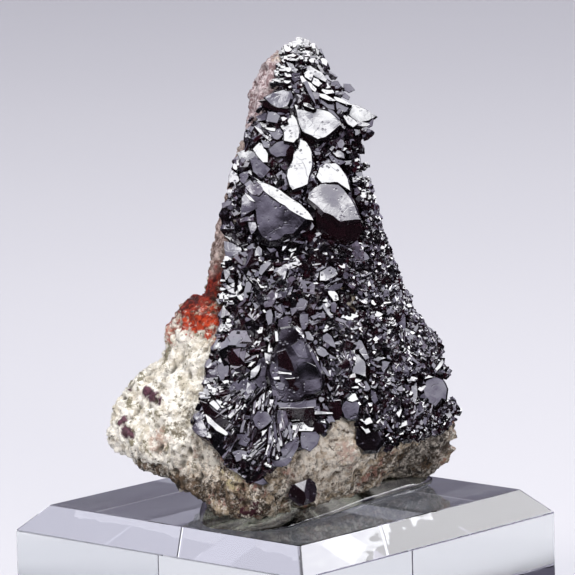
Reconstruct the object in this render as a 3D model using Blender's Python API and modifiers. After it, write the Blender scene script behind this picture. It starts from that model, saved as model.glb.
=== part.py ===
"""Cuprite on matrix, glued to a bevelled clear block.

A tall wedge of pale rock carries a crust of grown-together cuprite crystals over its front and
right sides. The rock stands in a puddle of clear resin on the block, one corner of which points
at the viewer. The origin is under the middle of the block, +Z is up, and the crystal side looks
along -Y. Lengths are metres; MM turns a size in millimetres into metres.
"""

import math

import bmesh
import bpy
import numpy as np
from mathutils import Matrix, Vector
from mathutils.bvhtree import BVHTree
from mathutils.geometry import intersect_line_plane

MM = 0.001

# Clear block: a two inch square with a chamfer round its top.
BLOCK_SIDE = 50.8 * MM
BLOCK_HEIGHT = 19.0 * MM
BLOCK_CHAMFER = 3.2 * MM
BLOCK_TURN = math.radians(48.0)

# Touching pieces keep this much clear of each other, and of the rough rock a little more.
GAP = 0.3 * MM
ROCK_GAP = 0.38 * MM

# Resin puddle round the foot of the rock.
RESIN_HEIGHT = 1.9 * MM
RESIN_EDGE = 1.0 * MM
RESIN_OUTLINE = (
    (-10.5, -18), (-7, -21), (-4, -22), (0, -20.6), (3, -16.6), (6.4, -12), (10.2, -6), (14.6, 0.6),
    (18.4, 5.4), (19.8, 10), (17, 14), (7, 14), (-3, 13.5), (-9.6, 4), (-11.2, -7),
)

# Rock, as five overlapping lumps. Corners are millimetres above the block's top, (x, y, z).
SPIRE = (
    (-11.4, -6, 20), (-2, -13.5, 20), (11, -10, 20), (15.6, -1, 20), (14, 9, 20), (0, 12, 20), (-11, 8, 20),
    (-8.0, -4.5, 34), (0, -8.6, 34), (8.0, -6, 34), (10.4, 0.5, 34), (9.4, 7.5, 34), (0, 10, 34), (-8.2, 6, 34),
    (-2.9, -2.5, 50), (3, -3.6, 50), (7.6, -1.2, 50), (8.2, 3, 50), (6.0, 8, 50), (-1, 8.5, 50), (-3.6, 3, 50),
    (-1.0, 0, 57), (2.6, -1, 57), (4.4, 1.6, 57), (3.8, 6, 57), (-0.4, 6, 57), (-1.9, 2.8, 56.6),
    (0.8, 1.6, 59.6), (3.0, 1.4, 59.8), (2.8, 4.2, 59.6), (1.2, 4.4, 59.2),
)
BODY = (
    (-9.4, -5, 28), (0, -10.5, 28), (9, -8, 28), (13.6, -1, 28), (12.5, 8.5, 28), (1, 12.5, 28), (-9, 8.5, 28),
    (-12, -12.5, 16), (-4, -16, 16), (8, -13, 16), (17.8, -4.5, 16), (20.2, 6, 16), (14, 14, 16), (-2, 16, 16),
    (-13, 11, 16),
    (-9, -17.5, 9), (-3, -19, 9), (9, -13.5, 9), (19, -4, 9), (22, 6, 9), (16, 15, 9), (0, 17, 9),
    (-13, 12, 9),
    (-9.5, -17, 1), (-4, -19.2, 1), (4, -12, 1), (11, -2, 1), (7, 11, 1), (-2, 12, 1), (-9, 3, 1),
)
RED_SHOULDER = (
    (-11.4, -3.5, 26.8), (-7.5, -7, 27.5), (-14.6, -3.8, 23.6), (-15.8, -4.4, 20.5), (-16.0, -5, 16.5),
    (-11, -11.5, 18), (-8, -14, 17), (-13, -9.5, 17), (-8, 7, 26), (-13, 6, 21), (-14, 6, 15), (-7, 8, 15),
)
LEFT_LOBE = (
    (-16.4, -4, 18.8), (-10, -11, 19), (-20.4, -5.2, 16.8), (-23.0, -6, 13.2), (-23.4, -7, 10), (-22.0, -7.5, 8.4),
    (-18.6, -8, 6.6), (-14.6, -10, 4.6), (-11, -15.5, 14), (-15, -14.8, 9), (-18.4, -12, 9.4), (-8, -17.6, 9),
    (-10.4, -16.6, 2.4), (-18.6, 6, 14), (-19.5, 4, 9.5), (-11, 10, 19), (-15, 6, 5), (-9, 7, 2),
)
RIGHT_FOOT = (
    (9, -6, 11), (19, -2, 11), (22.8, 6.5, 10.2), (23.4, 8, 6.4), (22.9, 8, 3.6), (10, 1, 4), (21.2, 8, 1.8),
    (15.6, 5.5, 1.2), (18.6, 9, 0.8), (17.6, 12, 2.5), (10, 13, 1), (8, 14, 10.5), (12, 3, 1.2),
)
LUMPS = (SPIRE, BODY, RED_SHOULDER, LEFT_LOBE, RIGHT_FOOT)
ROCK_VOXEL = 0.8 * MM
FOOT_CLEAR = 0.6 * MM
ROCK_FACES = 2200
SKIN_FACES = 1600
CRUST_FACES = 5400
SEEN_WEIGHT = 0.05
SWELL_SIZE, SWELL_RISE = 7.0 * MM, 1.5 * MM
LUMP_SIZE, LUMP_RISE = 2.6 * MM, 0.8 * MM

# Where the eye of a viewer is, and what they see: outlines and crystal places are given as
# (across, up) in millimetres on the upright plane y = 0, where the line of sight crosses it.
EYE = Vector((0.9, -600, 121)) * MM
CRUST_DEPTH = 6.0 * MM
CRUST_THICK = 1.0 * MM
CRUST_LOOKS = Vector((0.5, -0.86, 0.2))
FINE_FROM = 8.0
RIM_MARGIN = 0.7
CRUST_OUTLINE = (
    (0.7, 63.5), (0.8, 59.7), (0.0, 57.6), (-0.6, 55.2), (-1.6, 53.4), (-3.2, 51.6), (-4.6, 48.2),
    (-5.6, 45.0), (-6.7, 39.5), (-7.3, 32.8), (-7.9, 27.5), (-8.4, 22.2), (-9.9, 18.2), (-10.6, 15.4),
    (-11.6, 12.6), (-12.3, 9.5), (-9.4, 6.7), (-7.5, 3.9), (-3.6, 2.0), (-2.2, 1.8), (-1.8, 4.1),
    (-0.2, 4.2), (2.1, 6.0), (3.8, 6.4), (5.7, 9.2), (7.5, 10.0), (8.8, 9.9), (9.8, 7.1), (11.1, 5.9),
    (12.7, 5.8), (13.9, 6.5), (18.0, 7.5), (21.3, 8.5), (24.0, 12.0), (36.0, 15.0), (36.0, 64.0),
)

# Main crystals, each with a broad leading face. A row says which way the face looks, in degrees
# (turned right, tilted up), how far it stands off the rock, how thick the crystal is and how wide
# its bevelled rim is, in millimetres, and where the corners of the face are seen.
PLATES = {
    "great_grey": (-6, 2, 2.7, 6.5, 1.1, (
        (-4.1, 41.2), (-2.7, 42.0), (2.8, 37.9), (3.5, 36.2), (1.1, 34.3), (-1.3, 34.2), (-3.9, 36.1), (-5.1, 38.3))),
    "blue": (10, 27, 2.9, 6.5, 0.6, (
        (5.2, 41.8), (9.3, 41.4), (9.8, 39.5), (10.6, 37.0), (7.9, 36.9), (5.7, 38.4), (3.9, 40.1))),
    "blue_top": (8, 50, 2.2, 4.5, 0.4, (
        (5.4, 44.0), (6.3, 44.5), (7.9, 44.5), (8.9, 43.3), (9.3, 41.6), (5.2, 42.0))),
    "upper_leaf": (-4, 38, 1.5, 3.5, 0.3, (
        (2.0, 51.0), (2.8, 49.8), (3.0, 48.2), (2.4, 47.3), (0.9, 47.6), (0.8, 49.3))),
    "lower_leaf": (2, 36, 1.8, 4.5, 0.3, (
        (3.1, 48.0), (4.5, 45.0), (4.5, 43.2), (3.6, 41.5), (1.9, 41.1), (1.2, 43.0), (2.0, 46.7))),
    "pale": (4, 33, 1.9, 4.5, 0.4, (
        (2.4, 52.3), (5.5, 51.1), (7.0, 50.1), (7.6, 49.0), (6.3, 47.8), (5.3, 47.9), (3.3, 49.0), (2.6, 50.6))),
    "jutting": (18, 46, 2.2, 2.6, 0.25, (
        (7.7, 53.1), (9.9, 52.2), (12.8, 50.6), (12.6, 49.9), (11.7, 49.3), (9.8, 49.6), (8.6, 50.9))),
    "slanting": (12, 44, 1.5, 3.2, 0.25, (
        (3.6, 56.9), (5.1, 56.2), (7.1, 54.8), (7.8, 53.6), (7.0, 53.2), (5.5, 53.8), (4.2, 55.0), (3.6, 55.9))),
    "slanting_top": (8, 30, 1.2, 3.0, 0.25, (
        (4.2, 57.4), (5.5, 57.2), (6.6, 56.3), (6.8, 55.2), (5.5, 55.6), (4.4, 56.6))),
    "corner": (30, 14, 1.6, 3.0, 0.2, ((7.2, 55.4), (8.3, 55.3), (8.8, 54.4), (8.0, 53.8), (7.2, 54.4))),
    "ear": (34, 6, 1.4, 3.0, 0.15, ((9.0, 54.6), (9.8, 54.7), (10.3, 53.8), (9.5, 53.6), (9.0, 54.0))),
    "grey_lens": (-14, 14, 1.4, 3.6, 0.4, (
        (-1.1, 53.9), (-0.1, 54.6), (1.7, 54.4), (1.8, 53.1), (1.6, 51.9), (0.5, 51.9), (-1.0, 52.6))),
    "small_wedge": (-10, 16, 1.2, 3.0, 0.2, ((-1.1, 51.4), (0.3, 50.7), (0.0, 50.0), (-1.4, 50.1))),
    "small_ledge": (-8, 34, 1.3, 3.0, 0.2, (
        (-2.5, 50.3), (-1.6, 50.0), (0.3, 49.2), (0.5, 48.4), (-0.3, 47.7), (-1.7, 48.9))),
    "grey_cube": (-6, 14, 1.6, 3.6, 0.3, (
        (-1.0, 47.5), (0.8, 47.8), (1.8, 47.0), (1.1, 45.4), (-0.1, 45.3), (-1.2, 46.4))),
    "left_pair": (-26, 30, 1.1, 3.0, 0.25, (
        (-4.9, 46.1), (-3.3, 46.9), (-1.9, 47.0), (-1.3, 45.1), (-3.0, 44.7), (-4.8, 45.2))),
    "left_bright": (-24, 38, 1.2, 3.0, 0.25, (
        (-6.8, 35.3), (-5.7, 36.1), (-4.0, 34.4), (-3.7, 33.3), (-5.0, 33.2), (-6.6, 34.6))),
    "left_grey": (-30, 4, 1.0, 3.0, 0.25, (
        (-6.9, 34.0), (-5.5, 33.8), (-4.8, 33.0), (-5.6, 31.8), (-7.0, 32.2))),
    "tall_translucent": (2, 0, 2.6, 6.5, 0.9, (
        (0.0, 22.3), (1.8, 22.7), (2.8, 21.7), (4.7, 17.5), (5.2, 15.0), (4.7, 13.1), (-0.6, 13.1), (-1.6, 14.5),
        (-1.7, 17.1), (-0.8, 19.8))),
    "translucent_side": (-18, 6, 1.2, 3.0, 0.25, (
        (-3.9, 16.1), (-2.7, 18.4), (-1.8, 18.5), (-1.8, 15.3), (-2.3, 13.7), (-3.6, 14.1))),
    "tall_maroon": (-24, -12, 1.6, 4.0, 0.3, (
        (-4.8, 25.0), (-2.1, 24.9), (-2.6, 22.4), (-4.0, 20.0), (-5.5, 18.6), (-5.4, 22.6))),
    "tall_bar": (6, 8, 1.3, 3.6, 0.2, (
        (-2.1, 26.2), (-1.0, 26.5), (-0.1, 26.1), (0.2, 24.3), (-0.7, 23.1), (-1.8, 23.6))),
    "middle_left": (-6, 16, 1.2, 3.4, 0.25, ((1.0, 25.9), (2.9, 26.7), (3.8, 26.1), (3.3, 24.8), (1.5, 24.4))),
    "middle_right": (8, 18, 1.2, 3.4, 0.25, ((3.9, 24.9), (5.8, 24.9), (6.0, 23.4), (4.5, 22.4), (3.6, 23.4))),
    "right_of_tall": (24, 20, 1.2, 3.4, 0.25, ((5.2, 21.8), (6.9, 22.2), (7.3, 20.4), (5.8, 19.4), (4.9, 20.1))),
    "sloped_bar": (30, 14, 1.3, 3.4, 0.2, ((9.6, 20.6), (10.4, 21.1), (11.6, 18.8), (10.8, 18.1), (9.8, 19.4))),
    "sloped_bar_low": (-4, 18, 1.2, 3.4, 0.2, ((9.8, 19.3), (10.8, 17.9), (11.3, 16.3), (9.0, 16.1), (8.7, 17.2))),
    "little_roof": (18, 30, 1.2, 3.0, 0.3, ((11.8, 18.4), (12.9, 19.1), (14.1, 18.0), (13.3, 16.7), (12.1, 17.4))),
    "round": (4, 0, 1.4, 3.6, 0.35, (
        (7.8, 12.2), (8.8, 13.1), (10.1, 12.8), (10.2, 11.2), (9.0, 10.2), (8.0, 10.7))),
    "lower_round": (0, 4, 1.9, 4.6, 0.6, (
        (9.9, 9.2), (11.2, 10.0), (12.9, 9.4), (13.3, 7.4), (12.5, 6.2), (11.1, 6.1), (10.0, 7.0))),
    "right_grey": (16, 4, 1.4, 3.8, 0.35, (
        (18.7, 15.5), (21.2, 15.4), (21.6, 13.7), (20.3, 11.8), (19.4, 12.6), (18.5, 14.3))),
    "right_bar": (10, 4, 1.1, 3.2, 0.2, ((16.5, 15.4), (17.7, 15.4), (17.5, 12.1), (16.8, 12.2))),
    "foot_block": (4, -6, 1.8, 4.6, 0.4, (
        (1.7, 9.0), (4.6, 8.9), (4.9, 8.0), (3.7, 6.4), (2.5, 6.3), (2.0, 7.6))),
    "foot_wedge": (14, -8, 1.5, 4.0, 0.25, (
        (-1.8, 5.6), (0.1, 6.3), (1.8, 7.7), (1.7, 6.7), (-0.2, 4.5), (-1.4, 4.2))),
    "tip_ridge": (-12, -18, 1.6, 4.0, 0.3, (
        (-7.6, 5.0), (-5.9, 5.8), (-3.0, 4.8), (-2.1, 3.1), (-2.8, 2.2), (-5.2, 2.9), (-7.2, 4.2))),
    "left_purple": (-36, 0, 1.0, 3.0, 0.25, (
        (-11.8, 9.5), (-11.2, 10.5), (-10.4, 10.1), (-9.9, 8.3), (-10.6, 8.1))),
    "dark_band": (-22, -16, 1.5, 4.0, 0.25, ((-10.2, 12.2), (-7.2, 11.0), (-7.0, 8.7), (-8.2, 9.2), (-10.0, 10.8))),
    "streaked": (-20, 28, 1.4, 4.0, 0.3, (
        (-9.9, 13.3), (-8.9, 14.4), (-7.0, 14.2), (-6.5, 12.6), (-7.4, 11.2), (-9.4, 12.2))),
    "left_low": (-30, -4, 1.3, 3.6, 0.25, ((-9.3, 8.7), (-7.4, 7.9), (-7.1, 6.2), (-7.8, 5.4), (-8.7, 6.5))),
    "centre_low": (-6, 8, 1.4, 3.6, 0.3, ((-3.9, 11.0), (-2.3, 11.7), (-2.1, 10.2), (-2.9, 9.1), (-4.0, 9.5))),
}
MEDIUM_SIZES = (1.9, 3.4)
FINE_SIZES = (1.4, 2.5)
MEDIUM_SPACING, FINE_SPACING = 2.2 * MM, 1.8 * MM
THROWS = 9000
MEDIUM_SEED = 11

# One crystal stands by itself, low on the bare rock.
LONE_PLATE = (-8, 40, 2.2, 3.0, 0.7, ((0.9, 1.9), (2.4, 2.4), (3.2, 2.0), (2.8, 1.2), (1.6, 0.9), (0.8, 1.2)))

# Habits: how far the cube and octahedron faces stand from the centre of a unit crystal.
HABITS = ((0.50, 0.62), (0.58, 0.50), (0.46, 0.52))


def new_object(name, mesh, colour, roughness, metallic=0.0, alpha=1.0):
    """An object in the part's collection with a material of its own."""
    obj = bpy.data.objects.new(name, mesh)
    PART.objects.link(obj)
    material = bpy.data.materials.new(name)
    material.use_nodes = True
    shader = material.node_tree.nodes["Principled BSDF"]
    shader.inputs["Base Color"].default_value = (*colour, 1.0)
    shader.inputs["Roughness"].default_value = roughness
    shader.inputs["Metallic"].default_value = metallic
    shader.inputs["Alpha"].default_value = alpha
    mesh.materials.clear()
    mesh.materials.append(material)
    return obj


def helper(name, mesh):
    """A cutter or guide, left out of the model."""
    obj = bpy.data.objects.new(name, mesh)
    HELPERS.objects.link(obj)
    obj.hide_render = True
    obj.display_type = "WIRE"
    return obj


def evaluated_mesh(obj, name):
    """The object's mesh with its modifiers applied."""
    bpy.context.view_layer.update()
    graph = bpy.context.evaluated_depsgraph_get()
    mesh = bpy.data.meshes.new_from_object(obj.evaluated_get(graph))
    mesh.name = name
    return mesh


def add_boolean(obj, other, operation, own_overlaps=False):
    modifier = obj.modifiers.new(operation.lower(), "BOOLEAN")
    modifier.operation = operation
    modifier.solver = "EXACT"
    modifier.object = other
    modifier.use_self = own_overlaps


def largest_body(mesh):
    """Keeps the biggest body of a mesh, face joined to face, and drops loose chips and sealed hollows."""
    bm = bmesh.new()
    bm.from_mesh(mesh)
    bmesh.ops.remove_doubles(bm, verts=bm.verts, dist=0.002 * MM)
    bmesh.ops.triangulate(bm, faces=bm.faces)
    unseen = set(bm.faces)
    bodies = []
    while unseen:
        body = {unseen.pop()}
        rim = list(body)
        while rim:
            around = {other for face in rim for edge in face.edges for other in edge.link_faces}
            rim = [face for face in around if face not in body]
            body.update(rim)
        unseen -= body
        bodies.append(body)
    keep = max(bodies, key=len)
    bmesh.ops.delete(bm, geom=[face for face in bm.faces if face not in keep], context="FACES")
    bm.to_mesh(mesh)
    bm.free()


def hull_into(bm, corners):
    """Adds the convex hull of the corners to a bmesh."""
    lift = Vector((0, 0, BLOCK_HEIGHT))
    verts = [bm.verts.new(Vector(c) * MM + lift) for c in corners]
    made = bmesh.ops.convex_hull(bm, input=verts)
    inner = set(made["geom_interior"] + made["geom_unused"])
    spare = [g for g in inner if isinstance(g, bmesh.types.BMVert)]
    bmesh.ops.delete(bm, geom=spare, context="VERTS")


def add_relief(obj, name, size, rise):
    """Bumps the surface in and out along its normals with a cloud texture."""
    texture = bpy.data.textures.new(name, "CLOUDS")
    texture.noise_scale = size
    texture.noise_depth = 1
    modifier = obj.modifiers.new(name, "DISPLACE")
    modifier.texture = texture
    modifier.strength = rise
    modifier.mid_level = 0.5
    modifier.texture_coords = "LOCAL"


def add_thinning(obj, ratio, group=""):
    """Collapses small edges until the given share of the triangles is left."""
    thin = obj.modifiers.new("thin", "DECIMATE")
    thin.ratio = ratio
    thin.vertex_group = group


def thinned(mesh, faces):
    """A mesh of one body with about the given number of triangles."""
    largest_body(mesh)
    whole = helper(mesh.name + "_whole", mesh)
    add_thinning(whole, min(1.0, faces / len(mesh.polygons)))
    result = evaluated_mesh(whole, mesh.name + "_thin")
    largest_body(result)
    return result


def cut_to_fit(mesh, other):
    """What is left of a mesh when another piece is taken out of it, as one body."""
    whole = helper(mesh.name + "_uncut", mesh)
    add_boolean(whole, other, "DIFFERENCE", own_overlaps=True)
    result = evaluated_mesh(whole, mesh.name + "_cut")
    largest_body(result)
    return result


def under_crust(point):
    """Whether a place on the rock lies behind the crust, well away from its rim."""
    around = [seen_place(point) + Vector(step) * RIM_MARGIN for step in ((1, 0), (0, 1), (-1, 0), (0, -1))]
    return point.y < CRUST_DEPTH - MM and all(inside_outline(place, CRUST_OUTLINE) for place in around)


def make_rock_mesh():
    """Melts the lumps into one body, roughens it and thins it to a few thousand faces."""
    mesh = bpy.data.meshes.new("rock_lumps")
    bm = bmesh.new()
    for lump in LUMPS:
        hull_into(bm, lump)
    bm.to_mesh(mesh)
    bm.free()
    lumps = helper("rock_lumps", mesh)
    remesh = lumps.modifiers.new("melt", "REMESH")
    remesh.mode = "VOXEL"
    remesh.voxel_size = ROCK_VOXEL
    add_relief(lumps, "swell", SWELL_SIZE, SWELL_RISE)
    add_relief(lumps, "lump", LUMP_SIZE, LUMP_RISE)
    fine = helper("rock_fine", evaluated_mesh(lumps, "rock_fine"))
    for vertex in fine.data.vertices:
        vertex.co.z = max(vertex.co.z, BLOCK_HEIGHT + FOOT_CLEAR)
    hidden = fine.vertex_groups.new(name="hidden")
    for vertex in fine.data.vertices:
        hidden.add([vertex.index], 1.0 if under_crust(vertex.co) else SEEN_WEIGHT, "REPLACE")
    add_thinning(fine, ROCK_FACES / (2 * len(fine.data.polygons)), "hidden")
    rock = evaluated_mesh(fine, "rock")
    largest_body(rock)
    return rock


def grown(mesh, name, distance):
    """A copy of a mesh pushed out along its normals."""
    obj = helper(name + "_source", mesh.copy())
    push = obj.modifiers.new("push", "DISPLACE")
    push.strength = distance
    push.mid_level = 0.0
    return helper(name, evaluated_mesh(obj, name))


def tree_of(mesh):
    """A search tree for rays against a mesh."""
    return BVHTree.FromPolygons([v.co for v in mesh.vertices], [p.vertices for p in mesh.polygons])


def sight(across, up):
    """Start and direction of the line of sight to a place on the plane y = 0."""
    target = Vector((across * MM, 0, up * MM + BLOCK_HEIGHT))
    start = EYE + Vector((0, 0, BLOCK_HEIGHT))
    return start, (target - start).normalized()


def seen_place(point):
    """Where on the plane y = 0, in millimetres above the block, the line of sight to a point passes."""
    start = EYE + Vector((0, 0, BLOCK_HEIGHT))
    share = -start.y / (point.y - start.y)
    on_plane = start + (point - start) * share
    return Vector((on_plane.x / MM, (on_plane.z - BLOCK_HEIGHT) / MM))


def inside_outline(place, outline):
    """Even and odd crossings of a ray to the right decide whether a place is inside."""
    inside = False
    for (ax, ay), (bx, by) in zip(outline, outline[1:] + outline[:1]):
        if (ay > place.y) != (by > place.y):
            if place.x < ax + (place.y - ay) * (bx - ax) / (by - ay):
                inside = not inside
    return inside


def crystal_form(cube, octahedron):
    """A cube with its corners cut flat, turned so that one corner face looks along +Z."""
    bm = bmesh.new()
    bmesh.ops.create_cube(bm, size=2 * cube)
    for corner in ((x, y, z) for x in (-1, 1) for y in (-1, 1) for z in (-1, 1)):
        normal = Vector(corner).normalized()
        everything = bm.verts[:] + bm.edges[:] + bm.faces[:]
        made = bmesh.ops.bisect_plane(
            bm, geom=everything, plane_co=normal * octahedron, plane_no=normal, clear_outer=True
        )
        rim = [g for g in made["geom_cut"] if isinstance(g, bmesh.types.BMEdge)]
        if rim:
            bmesh.ops.contextual_create(bm, geom=rim)
    turn = Vector((1, 1, 1)).rotation_difference(Vector((0, 0, 1)))
    bmesh.ops.transform(bm, matrix=turn.to_matrix().to_4x4(), verts=bm.verts)
    bmesh.ops.recalc_face_normals(bm, faces=bm.faces)
    mesh = bpy.data.meshes.new("crystal_form")
    bm.to_mesh(mesh)
    bm.free()
    return mesh


def facing(turned, tilted):
    """Rotation whose +Z is the leading face's outward direction, turned to the right and tilted up."""
    turned, tilted = math.radians(turned), math.radians(tilted)
    out = Vector((math.sin(turned) * math.cos(tilted), -math.cos(turned) * math.cos(tilted), math.sin(tilted)))
    right = Vector((0, 0, 1)).cross(out).normalized()
    return Matrix((right, out.cross(right), out)).transposed()


def add_plate(bm, tree, row):
    """One main crystal: its leading face, a bevelled rim behind it, and a body sunk into the rock."""
    turned, tilted, proud, thick, bevel, corners = row
    middle = sum((Vector(c) for c in corners), Vector((0, 0))) / len(corners)
    hit, _, _, _ = tree.ray_cast(*sight(*middle))
    if hit is None:
        hit, _, _, _ = tree.find_nearest(Vector((middle.x * MM, 0, middle.y * MM + BLOCK_HEIGHT)))
    rotation = facing(turned, tilted)
    lead = rotation @ Vector((0, 0, 1))
    front = hit + lead * proud * MM
    rings = [[], [], []]
    for corner in corners:
        start, along = sight(*corner)
        point = intersect_line_plane(start, start + along, front, lead)
        outward = (point - front).normalized()
        rings[0].append(bm.verts.new(point))
        rings[1].append(bm.verts.new(point + (outward - lead) * bevel * MM))
        rings[2].append(bm.verts.new(point + outward * bevel * MM - lead * thick * MM))
    bm.faces.new(rings[0])
    bm.faces.new(rings[2])
    for upper, lower in zip(rings, rings[1:]):
        for i, vertex in enumerate(upper):
            follow = (i + 1) % len(upper)
            bm.faces.new((vertex, upper[follow], lower[follow], lower[i]))
    bmesh.ops.triangulate(bm, faces=[f for f in bm.faces if rings[0][0] in f.verts or rings[2][0] in f.verts])


def add_crystal(bm, form, place, rotation, size):
    """Adds a stretched, turned copy of a form to a bmesh."""
    matrix = Matrix.Translation(place) @ rotation.to_4x4() @ Matrix.Diagonal((*size, 1))
    first = len(bm.verts)
    bm.from_mesh(form)
    bm.verts.ensure_lookup_table()
    bmesh.ops.transform(bm, matrix=matrix, verts=bm.verts[first:])


def covered_by_plate(place):
    return any(inside_outline(place, row[-1]) for row in PLATES.values())


def medium_places(rock, random):
    """Evenly spread random places on the crust's stretch of the rock, with the outward direction at each."""
    rock.calc_loop_triangles()
    triangles = [t for t in rock.loop_triangles if t.normal.dot(CRUST_LOOKS) > 0]
    shares = np.array([t.area for t in triangles])
    places = []
    for pick in random.choice(len(triangles), THROWS, p=shares / shares.sum()):
        triangle = triangles[pick]
        a, b = sorted(random.random(2))
        corners = [rock.vertices[v].co for v in triangle.vertices]
        point = corners[0] * a + corners[1] * (b - a) + corners[2] * (1 - b)
        if not under_crust(point) or covered_by_plate(seen_place(point)):
            continue
        spacing = FINE_SPACING if seen_place(point).x > FINE_FROM else MEDIUM_SPACING
        if all((point - other).length > spacing for other, _ in places):
            places.append((point, triangle.normal.copy()))
    return places


def make_crystals(rock):
    """All crystals of the crust in one mesh, still overlapping each other."""
    forms = [crystal_form(*habit) for habit in HABITS]
    bm = bmesh.new()
    random = np.random.default_rng(MEDIUM_SEED)
    for point, normal in medium_places(rock, random):
        small, large = FINE_SIZES if seen_place(point).x > FINE_FROM else MEDIUM_SIZES
        size = (small + (large - small) * random.random() ** 1.5) * MM
        lean = Vector(random.normal(0, 0.4, 3))
        rotation = (normal + lean).normalized().to_track_quat("Z", "Y").to_matrix()
        rotation = rotation @ Matrix.Rotation(random.random() * math.tau, 3, "Z")
        stretch = Vector(random.uniform(0.75, 1.25, 3))
        form = forms[int(random.random() * len(forms))]
        add_crystal(bm, form, point + normal * CRUST_THICK * 0.6, rotation, stretch * size)
    tree = tree_of(rock)
    for row in PLATES.values():
        add_plate(bm, tree, row)
    bmesh.ops.recalc_face_normals(bm, faces=bm.faces)
    mesh = bpy.data.meshes.new("crystals")
    bm.to_mesh(mesh)
    bm.free()
    return mesh


def make_skin():
    """A body that stands proud of the rock where the crust is, and lies sunk inside it everywhere else."""
    skin = helper("skin_source", bpy.data.objects["rock_fine"].data.copy())
    crusted = skin.vertex_groups.new(name="crusted")
    for vertex in skin.data.vertices:
        faces_crust = vertex.co.y < CRUST_DEPTH and vertex.normal.dot(CRUST_LOOKS) > 0
        if faces_crust and inside_outline(seen_place(vertex.co), CRUST_OUTLINE):
            crusted.add([vertex.index], 1.0, "REPLACE")
    for name, distance, group in (("sink", -CRUST_THICK, ""), ("raise", 2 * CRUST_THICK, "crusted")):
        push = skin.modifiers.new(name, "DISPLACE")
        push.strength = distance
        push.mid_level = 0.0
        push.vertex_group = group
    remesh = skin.modifiers.new("melt", "REMESH")
    remesh.mode = "VOXEL"
    remesh.voxel_size = ROCK_VOXEL
    return helper("skin", thinned(evaluated_mesh(skin, "skin"), SKIN_FACES))


def make_crust(rock, rock_with_gap):
    """The crust: a skin over part of the rock, joined with every crystal, and hollowed to fit the rock."""
    skin = make_skin()
    crystals = helper("crystals", make_crystals(rock))
    add_boolean(skin, crystals, "UNION", own_overlaps=True)
    mesh = cut_to_fit(thinned(evaluated_mesh(skin, "crust"), CRUST_FACES), rock_with_gap)
    return new_object("cuprite_crystals", mesh, (0.055, 0.012, 0.018), 0.12, metallic=0.5)


def make_lone_crystal(rock, rock_with_gap):
    """The single crystal on the bare rock, with its back cut to the rock's surface."""
    bm = bmesh.new()
    add_plate(bm, tree_of(rock), LONE_PLATE)
    bmesh.ops.recalc_face_normals(bm, faces=bm.faces)
    mesh = bpy.data.meshes.new("lone")
    bm.to_mesh(mesh)
    bm.free()
    cut = cut_to_fit(mesh, rock_with_gap)
    return new_object("lone_cuprite_crystal", cut, (0.055, 0.012, 0.018), 0.12, metallic=0.5)


def make_block():
    """The clear block, a square slab whose four top edges are chamfered."""
    bm = bmesh.new()
    bmesh.ops.create_cube(bm, size=1.0)
    size = Matrix.Diagonal((BLOCK_SIDE, BLOCK_SIDE, BLOCK_HEIGHT, 1))
    bmesh.ops.transform(bm, matrix=Matrix.Translation((0, 0, BLOCK_HEIGHT / 2)) @ size, verts=bm.verts)
    top = [e for e in bm.edges if all(v.co.z > BLOCK_HEIGHT / 2 for v in e.verts)]
    bmesh.ops.bevel(bm, geom=top, offset=BLOCK_CHAMFER, segments=1, profile=0.5, affect="EDGES")
    bmesh.ops.transform(bm, matrix=Matrix.Rotation(BLOCK_TURN, 4, "Z"), verts=bm.verts)
    mesh = bpy.data.meshes.new("acrylic_block")
    bm.to_mesh(mesh)
    bm.free()
    return new_object("acrylic_block", mesh, (0.92, 0.95, 0.96), 0.03, alpha=0.35)


def make_resin(rock_with_gap):
    """The resin puddle: a filled outline with a rounded rim, with the rock's foot taken out of it."""
    curve = bpy.data.curves.new("resin_outline", "CURVE")
    curve.dimensions = "2D"
    curve.fill_mode = "BOTH"
    curve.resolution_u = 2
    spline = curve.splines.new("BEZIER")
    spline.bezier_points.add(len(RESIN_OUTLINE) - 1)
    for point, (x, y) in zip(spline.bezier_points, RESIN_OUTLINE):
        point.co = (x * MM, y * MM, 0)
        point.handle_left_type = point.handle_right_type = "AUTO"
    spline.use_cyclic_u = True
    curve.extrude = (RESIN_HEIGHT - GAP) / 2
    outline = helper("resin_outline", curve)
    outline.location.z = BLOCK_HEIGHT + GAP + curve.extrude
    mesh = evaluated_mesh(outline, "resin")
    mesh.transform(outline.matrix_world)
    bm = bmesh.new()
    bm.from_mesh(mesh)
    bmesh.ops.remove_doubles(bm, verts=bm.verts, dist=0.01 * MM)
    top = BLOCK_HEIGHT + RESIN_HEIGHT - 0.01 * MM
    rim = [e for e in bm.edges if e.is_manifold and all(v.co.z > top for v in e.verts) and e.calc_face_angle(0) > 1]
    bmesh.ops.bevel(bm, geom=rim, offset=RESIN_EDGE, segments=2, profile=0.5, affect="EDGES")
    bmesh.ops.recalc_face_normals(bm, faces=bm.faces)
    bm.to_mesh(mesh)
    bm.free()
    cut = cut_to_fit(mesh, rock_with_gap)
    return new_object("mounting_resin", cut, (0.80, 0.80, 0.66), 0.08, alpha=0.5)


def clear_scene():
    for obj in list(bpy.data.objects):
        bpy.data.objects.remove(obj)


def new_collection(name):
    collection = bpy.data.collections.new(name)
    bpy.context.scene.collection.children.link(collection)
    return collection


clear_scene()
PART = new_collection("cuprite_on_matrix")
HELPERS = new_collection("cutters_and_guides")

ROCK = make_rock_mesh()
ROCK_WITH_GAP = grown(ROCK, "rock_with_gap", ROCK_GAP)
new_object("matrix_rock", ROCK, (0.52, 0.47, 0.40), 0.85)
make_crust(ROCK, ROCK_WITH_GAP)
make_lone_crystal(ROCK, ROCK_WITH_GAP)
make_resin(ROCK_WITH_GAP)
make_block()
for made in PART.objects:
    print(made.name, len(made.data.loop_triangles) or len(made.data.polygons), "faces")
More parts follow.
